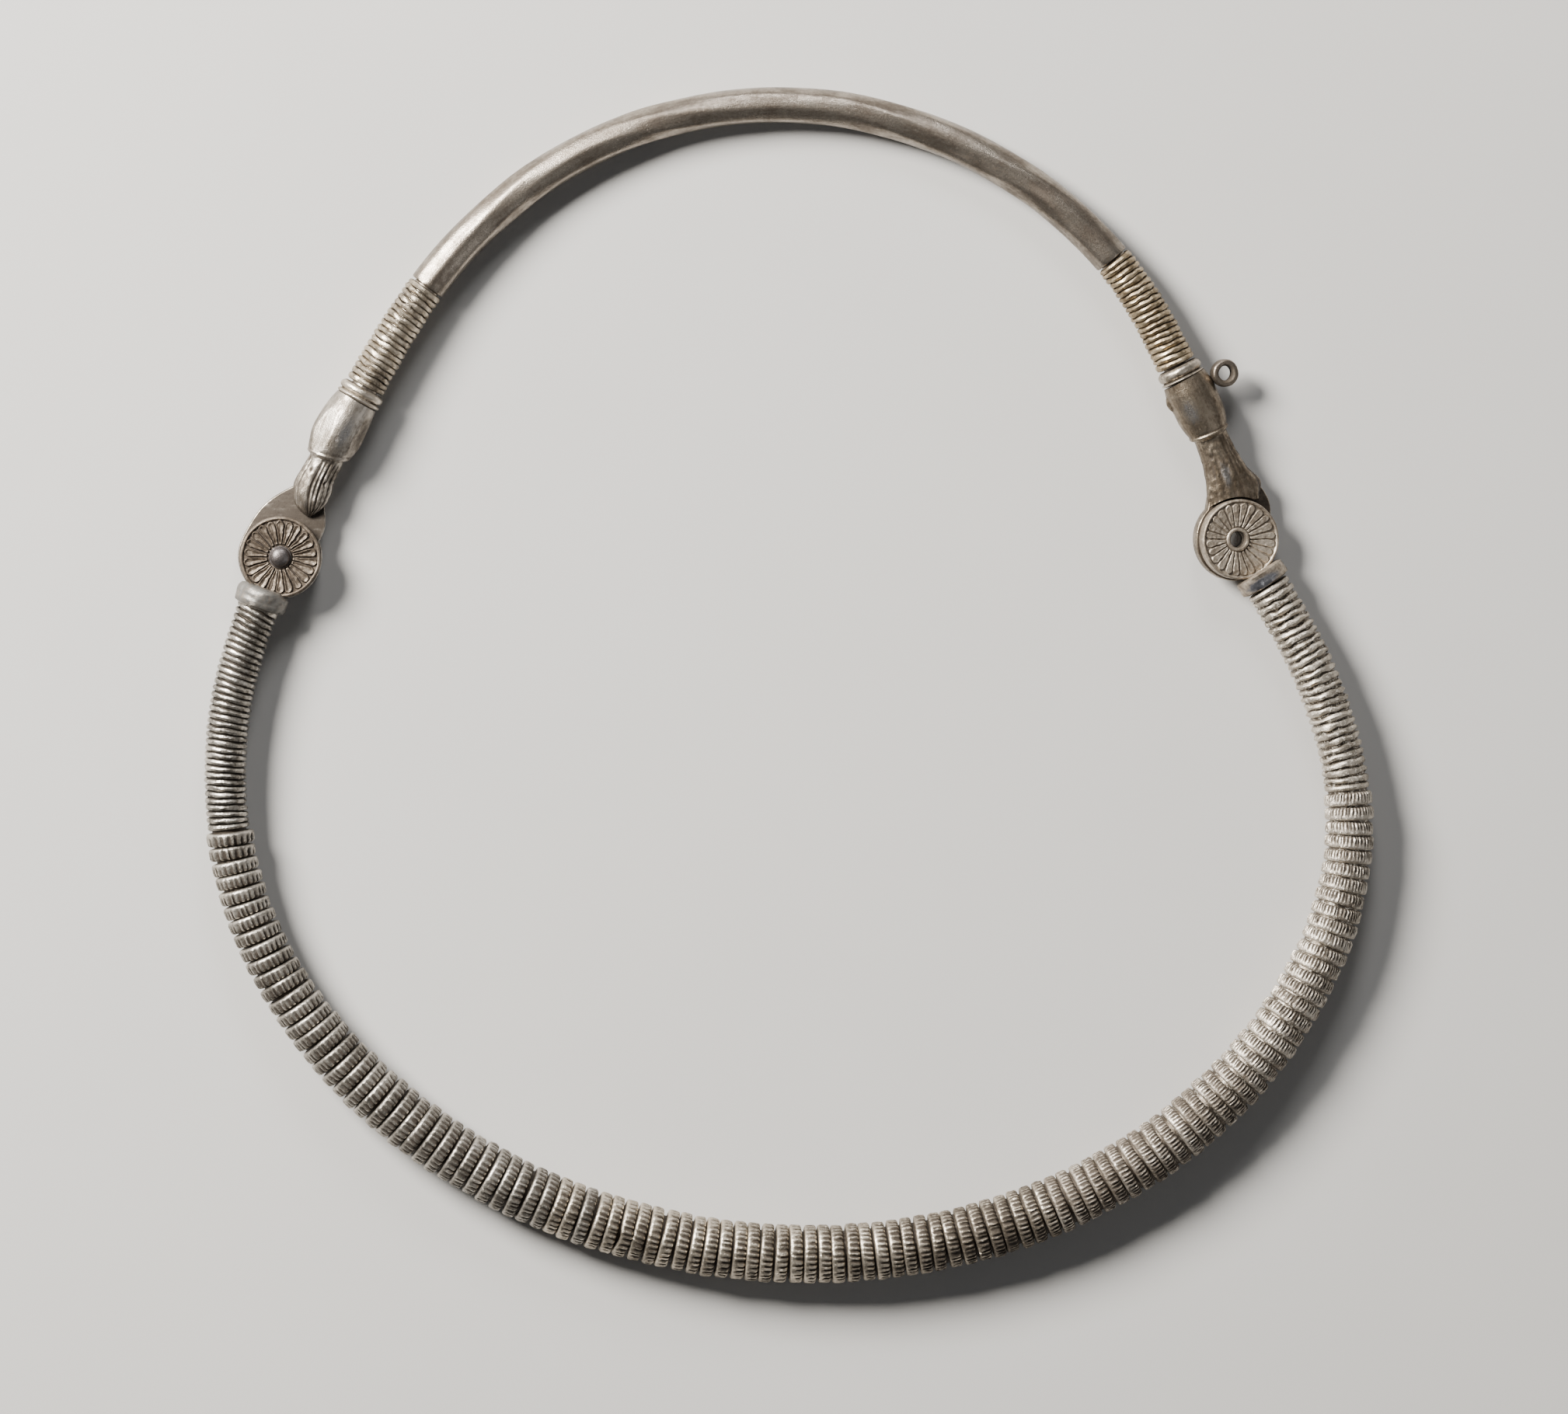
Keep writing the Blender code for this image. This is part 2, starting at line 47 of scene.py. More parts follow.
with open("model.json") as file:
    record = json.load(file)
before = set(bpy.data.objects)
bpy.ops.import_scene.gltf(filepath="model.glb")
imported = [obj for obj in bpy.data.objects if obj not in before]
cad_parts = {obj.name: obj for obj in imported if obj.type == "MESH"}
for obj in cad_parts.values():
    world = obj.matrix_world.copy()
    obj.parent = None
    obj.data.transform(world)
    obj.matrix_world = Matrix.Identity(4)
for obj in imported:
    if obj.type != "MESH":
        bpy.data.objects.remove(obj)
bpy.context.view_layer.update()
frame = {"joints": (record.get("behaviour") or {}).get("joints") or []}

MM = 0.001
FRONT_BODY = "front_hoop"
REAR_BODY = "rear_hoop"
SEED = 11

# Centrelines of the hoops and of the cast terminals, as in the solids
REAR_LINE = [
    (-62.32, 42.58), (-53.02, 57.68), (-36.12, 74.08), (-12.32, 83.58),
    (12.68, 82.78), (36.18, 71.98), (49.68, 58.38), (56.78, 45.58),
]
FRONT_LINE = [
    (-76.52, 13.48), (-80.42, 1.38), (-82.02, -12.62), (-79.62, -29.62), (-68.82, -49.92),
    (-49.12, -67.62), (-22.82, -79.22), (5.88, -82.72), (34.58, -77.32), (59.18, -63.22),
    (75.38, -43.32), (81.58, -21.62), (78.88, -4.62), (73.18, 8.38), (68.78, 15.68),
]
LEFT_TERMINAL_LINE = [
    (-62.32, 42.58), (-63.20, 41.09), (-65.72, 36.70),
    (-67.15, 33.44), (-69.25, 29.04), (-69.85, 24.98),
]
RIGHT_TERMINAL_LINE = [(56.78, 45.58), (57.65, 44.04), (61.10, 36.58), (63.85, 29.58), (64.85, 24.19)]
HINGE = tuple(value / MM for value in frame["joints"][0]["pos_m"])
JOINT_HEIGHT = HINGE[2]
CLASP = (65.05, 21.39, JOINT_HEIGHT)
CLASP_TWIST = math.radians(14.0)
CROWN_HEIGHT = 2.60
FRONT_HEIGHT = 4.28

# Sizes in millimetres. They are the solids', but for the necks, the loop's place and the rings' swell
FIT_GAP = 0.3
ROD_DIAMETERS = [5.40, 5.25, 5.10, 5.20, 5.35, 5.40]
ROD_END_DIAMETER = 4.0
REAR_WINDING_DIAMETERS = (5.50, 6.00)
REAR_COLLAR_LENGTH = 2.1
REAR_COLLAR_DIAMETERS = {"left": 6.75, "right": 6.65}
CORE_END_DIAMETER = 4.1
CORE_MIDDLE_DIAMETER = 5.2
FRONT_WINDING_DIAMETERS = {"left": 6.15, "right": 6.60}
RING_COUNT = 110
RING_DIAMETERS = (6.85, 8.50, 6.95)
RING_SWELL_LENGTH = 60.0
DISC_RADIUS = 5.85
DISC_THICKNESS = 1.95
PLATE_RADIUS = 6.1
PLATE_THICKNESS = 1.95
PETAL_COUNT = {"left": 22, "right": 24}
PETAL_BULGE = {"left": 0.0, "right": 0.6}
RIM_WIDTH = 0.42
HUB_RADIUS = 1.80
HUB_RISE = {"left": 0.10, "right": 0.38}
COLLAR_RADIUS = 3.8
COLLAR_LENGTH = 2.3
RIVET_RADIUS = 1.12
RIVET_PLAY = 0.07
RIVET_HEAD_RADIUS = 1.5
RIVET_HEAD_RISE = 1.0
RIVET_FOOT = 0.75
PIN_HOLE_RADIUS = 1.2
PIN_HOLE_OFFSET = -0.45
LOOP_RADII = (1.05, 2.02)
LOOP_DEPTH = 1.8
LOOP_PLACE = (63.17, 45.55, 4.3)
LOOP_TILT = math.radians(16.0)

# Turns of each wire winding, and how far each turn takes along the rod
WIRES = {
    ("front", "left"): (35, 0.95),
    ("front", "right"): (27, 1.19),
    ("rear", "left"): (18, 0.93),
    ("rear", "right"): (19, 0.93),
}
WOUND = {place: turns * pitch for place, (turns, pitch) in WIRES.items()}

# The terminals: (distance along, half width, half height) of each neck, where its socket ends, the points
# of its web beside the lap plate, and the degrees between which the plate's rim is round
LEFT_NECK = [
    (1.10, 3.15, 3.05), (3.20, 3.52, 3.28), (6.60, 3.78, 3.34), (9.20, 3.30, 3.00),
    (10.1, 2.95, 2.75), (10.35, 2.50, 2.30), (13.0, 2.60, 2.15), (15.2, 2.85, 2.10),
    (16.9, 2.60, 1.95), (18.1, 1.95, 1.60), (18.9, 1.10, 1.05), (19.4, 0.30, 0.45),
]
RIGHT_NECK = [
    (1.10, 3.30, 3.20), (3.20, 3.66, 3.40), (6.40, 3.60, 3.30),
    (9.60, 2.96, 2.76), (9.80, 2.90, 2.70), (10.05, 2.52, 2.30),
    (13.5, 2.75, 2.15), (17.5, 3.40, 2.05), (20.5, 3.80, 1.80),
]
SOCKET_END = {"left": 10.35, "right": 10.05}
LEFT_WEB = [(6.6, 4.6), (6.5, 6.9), (6.3, 9.2), (3.2, 10.6), (1.3, 9.9), (-2.2, 7.6), (-3.9, 5.5)]
LEFT_ARC = (153.0, 381.0)
RIGHT_WEB = [(5.2, 5.0), (3.8, 7.6), (1.8, 9.3), (-2.5, 9.1), (-4.1, 5.6)]
RIGHT_ARC = (135.0, 390.0)

# How finely the surfaces are divided, and how far to either side a centreline's direction is read
WIRE_SIDES = 8
WIRE_STEPS = 36
ROD_SIDES = 48
CAST_SIDES = 120
PETAL_STEPS = 20
TANGENT_REACH = 0.5

# Nothing lies lower than this, and this is kept free round what turns in a joint
LOWEST = 0.02
CLEARANCE = 0.35

# The bent ring's place along the rod, how many rings at the left are cut coarser, over how many rings the
# three looks of silver mix, the shares of the rings between which crust sets in, how far below the rings
# the dirt between them lies where they are clean and where they are crusted, and the rod's hammered flats
KINKED_RING = 120.6
COARSE_RINGS = 2
RINGS_MIXED = 2.5
CRUST_SETS_IN = (0.45, 0.80)
PACKED_BELOW = (0.95, 0.62)
ROD_FACETS = 7

# Where the camera aims, on the joints' level
VIEW_CENTRE = (-0.87, -2.94)

# Pale crust, bare worn metal, which on the right socket also paints a sheen, and what differs on each piece
# from the common aged silver
CRUST = (0.68, 0.63, 0.55)
BARE = (0.35, 0.343, 0.345)
LOOKS = {
    "wound silver, front left": {
        "light": (0.55, 0.51, 0.45), "dark": (0.11, 0.10, 0.085),
        "roughness": 0.30, "relief": 0.11, "seed": 1.0,
    },
    "wound silver, front right": {
        "light": (0.53, 0.475, 0.40), "crust": 0.9, "mottle": 0.7,
        "roughness": 0.42, "relief": 0.14, "seed": 2.0,
    },
    "wound silver, rear left": {"light": (0.60, 0.52, 0.41), "mottle": 0.65, "seed": 3.0},
    "wound silver, rear right": {"light": (0.52, 0.425, 0.29), "dark": (0.17, 0.125, 0.075), "seed": 3.5},
    "notched silver, left": {
        "light": (0.60, 0.555, 0.49), "dark": (0.14, 0.125, 0.105),
        "crust": 0.3, "relief": 0.12, "seed": 4.0,
    },
    "notched silver, middle": {
        "light": (0.64, 0.565, 0.46), "crust": 0.35, "mottle": 0.68, "relief": 0.12, "seed": 5.0,
    },
    # The right rings are lighter for their pale crust, and partly as painted light, for the light that falls
    # more on the right of the hoop's inside.
    "notched silver, right": {
        "light": (0.70, 0.64, 0.555), "dark": (0.24, 0.20, 0.158), "crust": 1.0, "mottle": 0.65,
        "soiled_and_shaded": 0.8, "roughness": 0.44, "relief": 0.15, "seed": 6.0,
    },
    "packed dirt": {"light": (0.12, 0.10, 0.08), "dark": (0.07, 0.055, 0.04), "crust": 0.75},
    "hammered silver": {
        "light": (0.38, 0.333, 0.28), "dark": (0.16, 0.132, 0.106), "mottle": 0.7,
        "roughness": 0.29, "streaks": 0.5, "seed": 8.0,
    },
    "beaded silver": {"mottle": 0.5, "seed": 9.0},
    "cast silver, left": {
        "light": (0.50, 0.455, 0.40), "dark": (0.13, 0.11, 0.088), "mottle": 0.75,
        "roughness": 0.34, "streaks": 0.6, "seed": 10.0,
    },
    "cast silver, right": {
        "light": (0.34, 0.285, 0.22), "dark": (0.10, 0.076, 0.052), "mottle": 0.75,
        "roughness": 0.32, "streaks": 0.5, "seed": 11.0,
    },
    "rosette silver, left": {
        "light": (0.315, 0.258, 0.203), "dark": (0.10, 0.078, 0.058), "soil_and_shade": (0.026, 0.018, 0.013),
        "bare": (0.20, 0.195, 0.182), "roughness": 0.50, "metallic": 0.72, "seed": 12.0,
    },
    "rosette silver, right": {
        "light": (0.50, 0.435, 0.355), "dark": (0.20, 0.163, 0.125), "soil_and_shade": (0.035, 0.025, 0.018),
        "bare": (0.17, 0.172, 0.187), "roughness": 0.46, "metallic": 0.80, "seed": 13.0,
    },
    "rivet silver": {
        "light": (0.24, 0.22, 0.22), "dark": (0.12, 0.105, 0.10),
        "roughness": 0.32, "soiled_and_shaded": 0.5, "seed": 14.0,
    },
    "loop silver": {"light": (0.25, 0.21, 0.175), "seed": 15.0},
}


# Arithmetic on numbers and arrays


def lerp(a, b, t):
    return a + (b - a) * t


def smooth_step(t):
    t = np.clip(t, 0.0, 1.0)
    return t * t * (3 - 2 * t)


def ramp(value, low, high):
    """0 below low, 1 above high, and smooth between them."""
    return smooth_step((value - low) / (high - low))


def bell(distance, width):
    """1 at no distance, falling off smoothly over a width on both sides."""
    return np.exp(-((distance / width) ** 2))


def flowing(at, places, values):
    """A smooth curve through values that never overshoots them."""
    slopes = np.diff(values) / np.diff(places)
    same_way = slopes[:-1] * slopes[1:] > 0
    means = np.zeros(len(same_way))
    pairs = slopes[:-1][same_way], slopes[1:][same_way]
    means[same_way] = 2 * pairs[0] * pairs[1] / (pairs[0] + pairs[1])
    tangents = np.concatenate([slopes[:1], means, slopes[-1:]])
    i = np.clip(np.searchsorted(places, at, side="right") - 1, 0, len(places) - 2)
    gap = places[i + 1] - places[i]
    t = np.clip((at - places[i]) / gap, 0.0, 1.0)
    leave = t * (1 - t) ** 2 * gap * tangents[i]
    arrive = t * t * (t - 1) * gap * tangents[i + 1]
    return lerp(values[i], values[i + 1], smooth_step(t)) + leave + arrive


def wander(places, size, seed=0.0):
    """Smooth random numbers, about -1 to 1, that change over a given size in space."""
    shift = Vector((seed * 3.1 + 0.37, seed * 1.7 - 5.21, 9.43 - seed))
    return np.array([noise.noise(Vector(place) / size + shift) for place in places])


class Centreline:
    """A smooth curve through a few points, read by distance along it. It runs on straight past its ends."""

    def __init__(self, points, end_height, middle_height, samples=3000):
        points = np.array(points, float)
        self.end_height = end_height
        self.middle_height = middle_height
        knots = self.run(points)
        at = np.linspace(0.0, knots[-1], samples)
        self.xy = self.cubic(knots, points, self.natural_bends(knots, points), at)
        self.distance = self.run(self.xy)
        self.length = float(self.distance[-1])

    @staticmethod
    def run(points):
        """How far each point is from the first, from point to point."""
        return np.concatenate([[0.0], np.cumsum(np.hypot(*np.diff(points, axis=0).T))])

    @staticmethod
    def natural_bends(knots, points):
        """Second derivatives of the natural cubic spline at its knots."""
        gaps = np.diff(knots)
        matrix = np.eye(len(points))
        right = np.zeros_like(points)
        for i in range(1, len(points) - 1):
            matrix[i, i - 1 : i + 2] = gaps[i - 1], 2 * (gaps[i - 1] + gaps[i]), gaps[i]
            ahead = (points[i + 1] - points[i]) / gaps[i]
            behind = (points[i] - points[i - 1]) / gaps[i - 1]
            right[i] = 6 * (ahead - behind)
        return np.linalg.solve(matrix, right)

    @staticmethod
    def cubic(knots, points, bends, at):
        i = np.clip(np.searchsorted(knots, at, side="right") - 1, 0, len(knots) - 2)
        gap = knots[i + 1] - knots[i]
        a = ((knots[i + 1] - at) / gap)[:, None]
        b = 1 - a
        curve = ((a**3 - a) * bends[i] + (b**3 - b) * bends[i + 1]) * (gap**2 / 6)[:, None]
        return a * points[i] + b * points[i + 1] + curve

    def at(self, s):
        return np.stack([np.interp(s, self.distance, self.xy[:, k]) for k in (0, 1)], axis=1)

    def follow(self, place):
        """Where points made straight, along X, lie once the body is bent along the curve."""
        inside = np.clip(place[:, 0], 0.0, self.length)
        low = np.clip(inside - TANGENT_REACH, 0.0, self.length)
        high = np.clip(inside + TANGENT_REACH, 0.0, self.length)
        along = self.at(high) - self.at(low)
        along /= np.hypot(*along.T)[:, None]
        left = np.stack([-along[:, 1], along[:, 0]], axis=1)
        beyond = (place[:, 0] - inside)[:, None]
        xy = self.at(inside) + along * beyond + left * place[:, 1:2]
        rise = 1 - np.cos(math.pi * inside / self.length) ** 4
        height = lerp(self.end_height, self.middle_height, rise)
        return np.column_stack([xy, np.maximum(height + place[:, 2], LOWEST)])


REAR = Centreline(REAR_LINE, JOINT_HEIGHT, CROWN_HEIGHT)
FRONT = Centreline(FRONT_LINE, JOINT_HEIGHT, FRONT_HEIGHT)
LEFT_TERMINAL = Centreline(LEFT_TERMINAL_LINE, JOINT_HEIGHT, JOINT_HEIGHT)
RIGHT_TERMINAL = Centreline(RIGHT_TERMINAL_LINE, JOINT_HEIGHT, JOINT_HEIGHT)

# Where each covering starts and ends along its hoop
COLLAR_HALF = COLLAR_LENGTH / 2
FRONT_WIND_START = COLLAR_HALF + FIT_GAP
RING_START = FRONT_WIND_START + WOUND["front", "left"] + FIT_GAP
FRONT_WIND_END = FRONT.length - COLLAR_HALF - FIT_GAP
RING_END = FRONT_WIND_END - WOUND["front", "right"] - FIT_GAP
REAR_COLLAR_HALF = REAR_COLLAR_LENGTH / 2
REAR_WIND_START = REAR_COLLAR_HALF + FIT_GAP
REAR_WIND_LEFT_END = REAR_WIND_START + WOUND["rear", "left"]
REAR_WIND_RIGHT_START = REAR.length - REAR_WIND_START - WOUND["rear", "right"]


def ring_share(s):
    """How far along the row of rings a place on the rod is, from 0 to 1."""
    return (s - RING_START) / (RING_END - RING_START)


def ring_swell(s):
    """How far the rings have swollen at a place on the rod, from their start and from their end."""
    return smooth_step((s - RING_START) / RING_SWELL_LENGTH), smooth_step((RING_END - s) / RING_SWELL_LENGTH)


def ring_radius(s):
    """Outer radius of the notched rings, swelling from both ends to the middle."""
    start, middle, end = (d / 2 for d in RING_DIAMETERS)
    from_start, from_end = ring_swell(s)
    return np.minimum(lerp(start, middle, from_start), lerp(end, middle, from_end))


def core_radius(s):
    """Radius of the front rod, which swells a little under the notched rings."""
    from_start, from_end = ring_swell(s)
    return lerp(CORE_END_DIAMETER, CORE_MIDDLE_DIAMETER, from_start * from_end) / 2


def rod_radius(s):
    """Radius of the hammered rear rod between its windings."""
    t = (s - REAR_WIND_LEFT_END) / (REAR_WIND_RIGHT_START - REAR_WIND_LEFT_END)
    return np.interp(t, np.linspace(0.0, 1.0, len(ROD_DIAMETERS)), ROD_DIAMETERS) / 2


# Making and shaping straight bodies


class Points:
    """A body's points as arrays: their places; how deep each one lies, mostly in a groove, which darkens it
    with dirt and painted shade; and how worn it is, which also places a painted sheen.
    """

    def __init__(self, bm):
        self.verts = list(bm.verts)
        self.deep = bm.verts.layers.float["depth"]
        self.rubbed = bm.verts.layers.float["worn"]
        self.place = np.array([vert.co for vert in self.verts])
        self.depth = np.array([vert[self.deep] for vert in self.verts])
        self.worn = np.array([vert[self.rubbed] for vert in self.verts])

    @property
    def x(self):
        return self.place[:, 0]

    @property
    def radius(self):
        return np.hypot(self.place[:, 1], self.place[:, 2])

    @property
    def angle(self):
        """Angle about X from the top, towards the curve's left."""
        return np.arctan2(self.place[:, 1], self.place[:, 2])

    def away_from(self, angle):
        """Angle about X from a direction, the shorter way round."""
        return np.angle(np.exp(1j * (self.angle - angle)))

    def turn_to(self, angle, radius):
        self.place[:, 1] = radius * np.sin(angle)
        self.place[:, 2] = radius * np.cos(angle)

    def grow(self, by):
        """Moves points out from X by an amount each."""
        radius = self.radius
        self.place[:, 1:] *= ((radius + by) / np.maximum(radius, 1e-6))[:, None]

    def write(self):
        for vert, place, depth, worn in zip(self.verts, self.place, self.depth, self.worn):
            vert.co = place
            vert[self.deep] = depth
            vert[self.rubbed] = worn


def fresh_body():
    bm = bmesh.new()
    bm.verts.layers.float.new("depth")
    bm.verts.layers.float.new("worn")
    bm.verts.layers.float_vector.new("made_at")
    return bm


def remember(bm):
    """Notes where each point is while the body is still straight, for patterns that run along it."""
    layer = bm.verts.layers.float_vector["made_at"]
    for vert in bm.verts:
        vert[layer] = vert.co


def spin(bm, geom, angle, steps, advance=0.0, whole=False):
    """Sweeps edges about X, moving on along it at each step."""
    centre = {"cent": (0.0, 0.0, 0.0), "axis": (1.0, 0.0, 0.0), "dvec": (advance, 0.0, 0.0)}
    bmesh.ops.spin(bm, geom=geom, angle=angle, steps=steps, use_merge=whole, **centre)


def turn(profile, steps, closed=False):
    """Turns points (distance along X, radius) into a body about X."""
    bm = fresh_body()
    verts = [bm.verts.new((x, 0.0, radius)) for x, radius in profile]
    edges = [bm.edges.new(pair) for pair in zip(verts, verts[1:])]
    if closed:
        edges.append(bm.edges.new((verts[-1], verts[0])))
    spin(bm, verts + edges, 2 * math.pi, steps, whole=True)
    poles = [vert for vert in bm.verts if math.hypot(vert.co.y, vert.co.z) < 1e-3]
    bmesh.ops.remove_doubles(bm, verts=poles, dist=1e-2)
    return bm


def rounded(start, end, radius, edge, step):
    """A bar's profile along X with rounded ends. radius(x) gives its size."""
    count = max(2, round((end - start) / step) + 1)
    places = np.linspace(start + edge, end - edge, count)
    near = [(start, 0.0), (start, radius(start) - edge), (start + 0.3 * edge, radius(start) - 0.3 * edge)]
    far = [(end - 0.3 * edge, radius(end) - 0.3 * edge), (end, radius(end) - edge), (end, 0.0)]
    return near + [(x, float(radius(x))) for x in places] + far


def bend(bm, line):
    remember(bm)
    points = Points(bm)
    points.place = line.follow(points.place)
    points.write()


def as_mesh(name, bm):
    mesh = bpy.data.meshes.new(name)
    bm.to_mesh(mesh)
    bm.free()
    return mesh


def absorb(bm, other):
    """Adds another body's faces to this one."""
    mesh = as_mesh("passing", other)
    bm.from_mesh(mesh)
    bpy.data.meshes.remove(mesh)


def joint_frame(place, twist=0.0):
    """Where a lap joint's parting plane and axis lie."""
    return Matrix.Translation(place) @ Matrix.Rotation(twist, 4, "Y")


# Each lap joint's frame, and the radius and sideways offset of the hole through it
LAPS = {
    "left": (joint_frame(HINGE), RIVET_RADIUS + RIVET_PLAY, 0.0),
    "right": (joint_frame(CLASP, CLASP_TWIST), PIN_HOLE_RADIUS, PIN_HOLE_OFFSET),
}


def stand(bm, place):
    """Turns a body made along X upright and puts it in a frame."""
    remember(bm)
    bm.transform(place @ Matrix.Rotation(math.radians(-90.0), 4, "Y"))


def moved(places, matrix):
    matrix = np.array(matrix)
    return places @ matrix[:3, :3].T + matrix[:3, 3]


def keep_clear(bm, place, radius, above=None, below=None):
    """Pushes points out from a joint's axis where they lie above or below a height there."""
    points = Points(bm)
    local = moved(points.place, place.inverted())
    reach = np.hypot(local[:, 0], local[:, 1])
    inside = reach < radius
    if above is not None:
        inside &= local[:, 2] > above
    if below is not None:
        inside &= local[:, 2] < below
    local[inside, :2] *= (radius / np.maximum(reach[inside], 1e-6))[:, None]
    points.place = moved(local, place)
    points.write()


def put_in_scene(name, data):
    thing = bpy.data.objects.new(name, data)
    bpy.context.scene.collection.objects.link(thing)
    return thing


def finish(name, bm, body, node, look, crease=38.0):
    """Writes a body in millimetres as a piece in metres that stands for its solid, in one of the looks."""
    bmesh.ops.recalc_face_normals(bm, faces=bm.faces)
    bm.transform(Matrix.Scale(MM, 4))
    mesh = as_mesh(name, bm)
    mesh.shade_smooth()
    mesh.set_sharp_from_angle(angle=math.radians(crease))
    mesh.materials.append(silver_finish(look))
    piece = put_in_scene(name, mesh)
    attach(piece, body)
    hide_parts(node)


# Materials


class Socket:
    """A node's output. Arithmetic on it adds Math nodes."""

    def __init__(self, finish, output):
        self.finish = finish
        self.output = output

    def math(self, operation, *others):
        values = dict(enumerate((self, *others)))
        return self.finish.add("ShaderNodeMath", {"operation": operation}, values)

    def __add__(self, other):
        return self.math("ADD", other)

    def __mul__(self, other):
        return self.math("MULTIPLY", other)

    def __sub__(self, other):
        return self.math("SUBTRACT", other)

    def __rsub__(self, other):
        return (self * -1.0) + other

    __radd__ = __add__
    __rmul__ = __mul__

    def between(self, low, high):
        """0 below low, 1 above high, and smooth between them."""
        settings = {"interpolation_type": "SMOOTHSTEP"}
        values = {"Value": self, "From Min": low, "From Max": high}
        return self.finish.add("ShaderNodeMapRange", settings, values)


class Finish:
    """A procedural material under construction."""

    def __init__(self, name):
        self.material = bpy.data.materials.new(name)
        self.material.use_nodes = True
        self.nodes = self.material.node_tree.nodes
        self.links = self.material.node_tree.links
        self.surface = self.nodes["Principled BSDF"]
        coordinates = self.add("ShaderNodeTexCoord", output="Object")
        self.place = self.vector("SCALE", {0: coordinates, "Scale": 1 / MM})

    def add(self, kind, settings=None, values=None, output=0):
        """Adds a node, sets it, feeds its sockets with values or links, and gives one of its outputs."""
        node = self.nodes.new(kind)
        for name, value in (settings or {}).items():
            setattr(node, name, value)
        for key, value in (values or {}).items():
            self.feed(node.inputs[key], value)
        return Socket(self, node.outputs[output])

    def feed(self, entry, value):
        if isinstance(value, Socket):
            self.links.new(value.output, entry)
        elif entry.type == "RGBA" and len(value) == 3:
            entry.default_value = (*value, 1.0)
        else:
            entry.default_value = value

    def vector(self, operation, values):
        return self.add("ShaderNodeVectorMath", {"operation": operation}, values)

    def mix(self, factor, first, second):
        """A colour between two colours."""
        settings = {"data_type": "RGBA", "clamp_factor": True}
        return self.add("ShaderNodeMix", settings, {"Factor": factor, 6: first, 7: second}, output=2)

    def attribute(self, name, output="Fac"):
        return self.add("ShaderNodeAttribute", {"attribute_name": name}, output=output)

    def grain(self, size, detail=3.0, rough=0.55, place=None, shift=0.0):
        """Cloudy noise, 0 to 1, whose patches are about a size in millimetres across."""
        values = {"Vector": place or self.place, "Scale": 1.0 / size, "Detail": detail, "Roughness": rough}
        if shift:
            values["Vector"] = self.vector("ADD", {0: self.place, 1: (shift,) * 3})
        return self.add("ShaderNodeTexNoise", values=values)

    def pits(self, size):
        """Distance from scattered points, 0 to 1, about a size in millimetres apart."""
        return self.add("ShaderNodeTexVoronoi", values={"Vector": self.place, "Scale": 1.0 / size})

    def bump(self, height, depth):
        """A bump whose height of 0 to 1 stands for a depth in millimetres."""
        return self.add("ShaderNodeBump", values={"Height": height, "Distance": depth * MM, "Strength": 1.0})

    def set(self, **values):
        for name, value in values.items():
            self.feed(self.surface.inputs[name.replace("_", " ")], value)


def aged_silver(
    name, light, dark, soil_and_shade, bare=BARE, crust=0.0, mottle=0.8, soiled_and_shaded=0.9, streaks=0.0,
    roughness=0.36, metallic=0.93, relief=0.085, seed=0.0,
):
    """Old silver: light metal, clouds of tarnish, dirt and painted shade in whatever lies deep, pale crust,
    and bare wear, which also paints a sheen where a bare patch is placed for one.
    """
    silver = Finish(name)
    cloud = silver.grain(4.5, 4.0, 0.62, shift=seed + 1.3)
    fleck = silver.grain(0.55, 3.0, 0.62, shift=seed + 7.7)
    speck = silver.grain(0.17, 2.0, 0.6, shift=seed + 3.9)
    depth = silver.attribute("depth")
    worn = silver.attribute("worn")
    if streaks:
        drawn = silver.vector("MULTIPLY", {0: silver.attribute("made_at", "Vector"), 1: (0.16, 1.0, 1.0)})
        lines = silver.grain(0.42, 3.0, 0.6, place=drawn)
        fleck = fleck * (1.0 - streaks) + lines * streaks
    tarnish = (cloud * 0.5 + fleck * 0.5 + depth * 0.16).between(0.60 - 0.3 * mottle, 0.80 - 0.2 * mottle)
    metal = silver.mix(tarnish, light, dark)
    pale = ((fleck * 0.6 + speck * 0.4).between(0.50, 0.60) * (1.0 - depth).between(0.3, 0.8)) * crust
    metal = silver.mix(pale, metal, CRUST)
    # Dirt and painted shade: what lies deep is darkened towards the soil colour, for dirt held there and as
    # painted shade in grooves, gaps and holes; dirt joins this with the real pits.
    held = (depth + (fleck - 0.5) * 0.8).between(0.40, 0.95) * soiled_and_shaded
    pitted = (1.0 - silver.pits(0.8)).between(0.84, 0.95) * (cloud - 0.25) * 1.3
    dirt = (held + pitted).math("MINIMUM", 1.0)
    # Bare wear; where a bare patch is placed for a sheen of light, this paints that sheen.
    rubbed = (worn + (fleck - 0.5) * 0.7).between(0.22, 0.82)
    silver.set(Base_Color=silver.mix(rubbed, silver.mix(dirt, metal, soil_and_shade), bare))
    silver.set(Metallic=(metallic - pale * 0.5 - dirt * 0.7).math("MAXIMUM", rubbed * 0.9))
    matt = roughness + tarnish * 0.10 + dirt * 0.30 + (speck - 0.5) * 0.3
    silver.set(Roughness=matt - rubbed * 0.12)
    silver.set(Normal=silver.bump(fleck * 0.5 + speck * 0.35 + (1.0 - dirt) * 0.25, relief))
    return silver.material


def silver_finish(look):
    """The aged silver of one look, made when a piece first asks for it."""
    if look in bpy.data.materials:
        return bpy.data.materials[look]
    colors = bpy.context.scene.torc_colors
    common = {"light": tuple(colors.bright), "dark": tuple(colors.tarnish), "soil_and_shade": tuple(colors.soil_and_shade)}
    return aged_silver(look, **{**common, **LOOKS[look]})


# The pieces, each kind in functions of its own


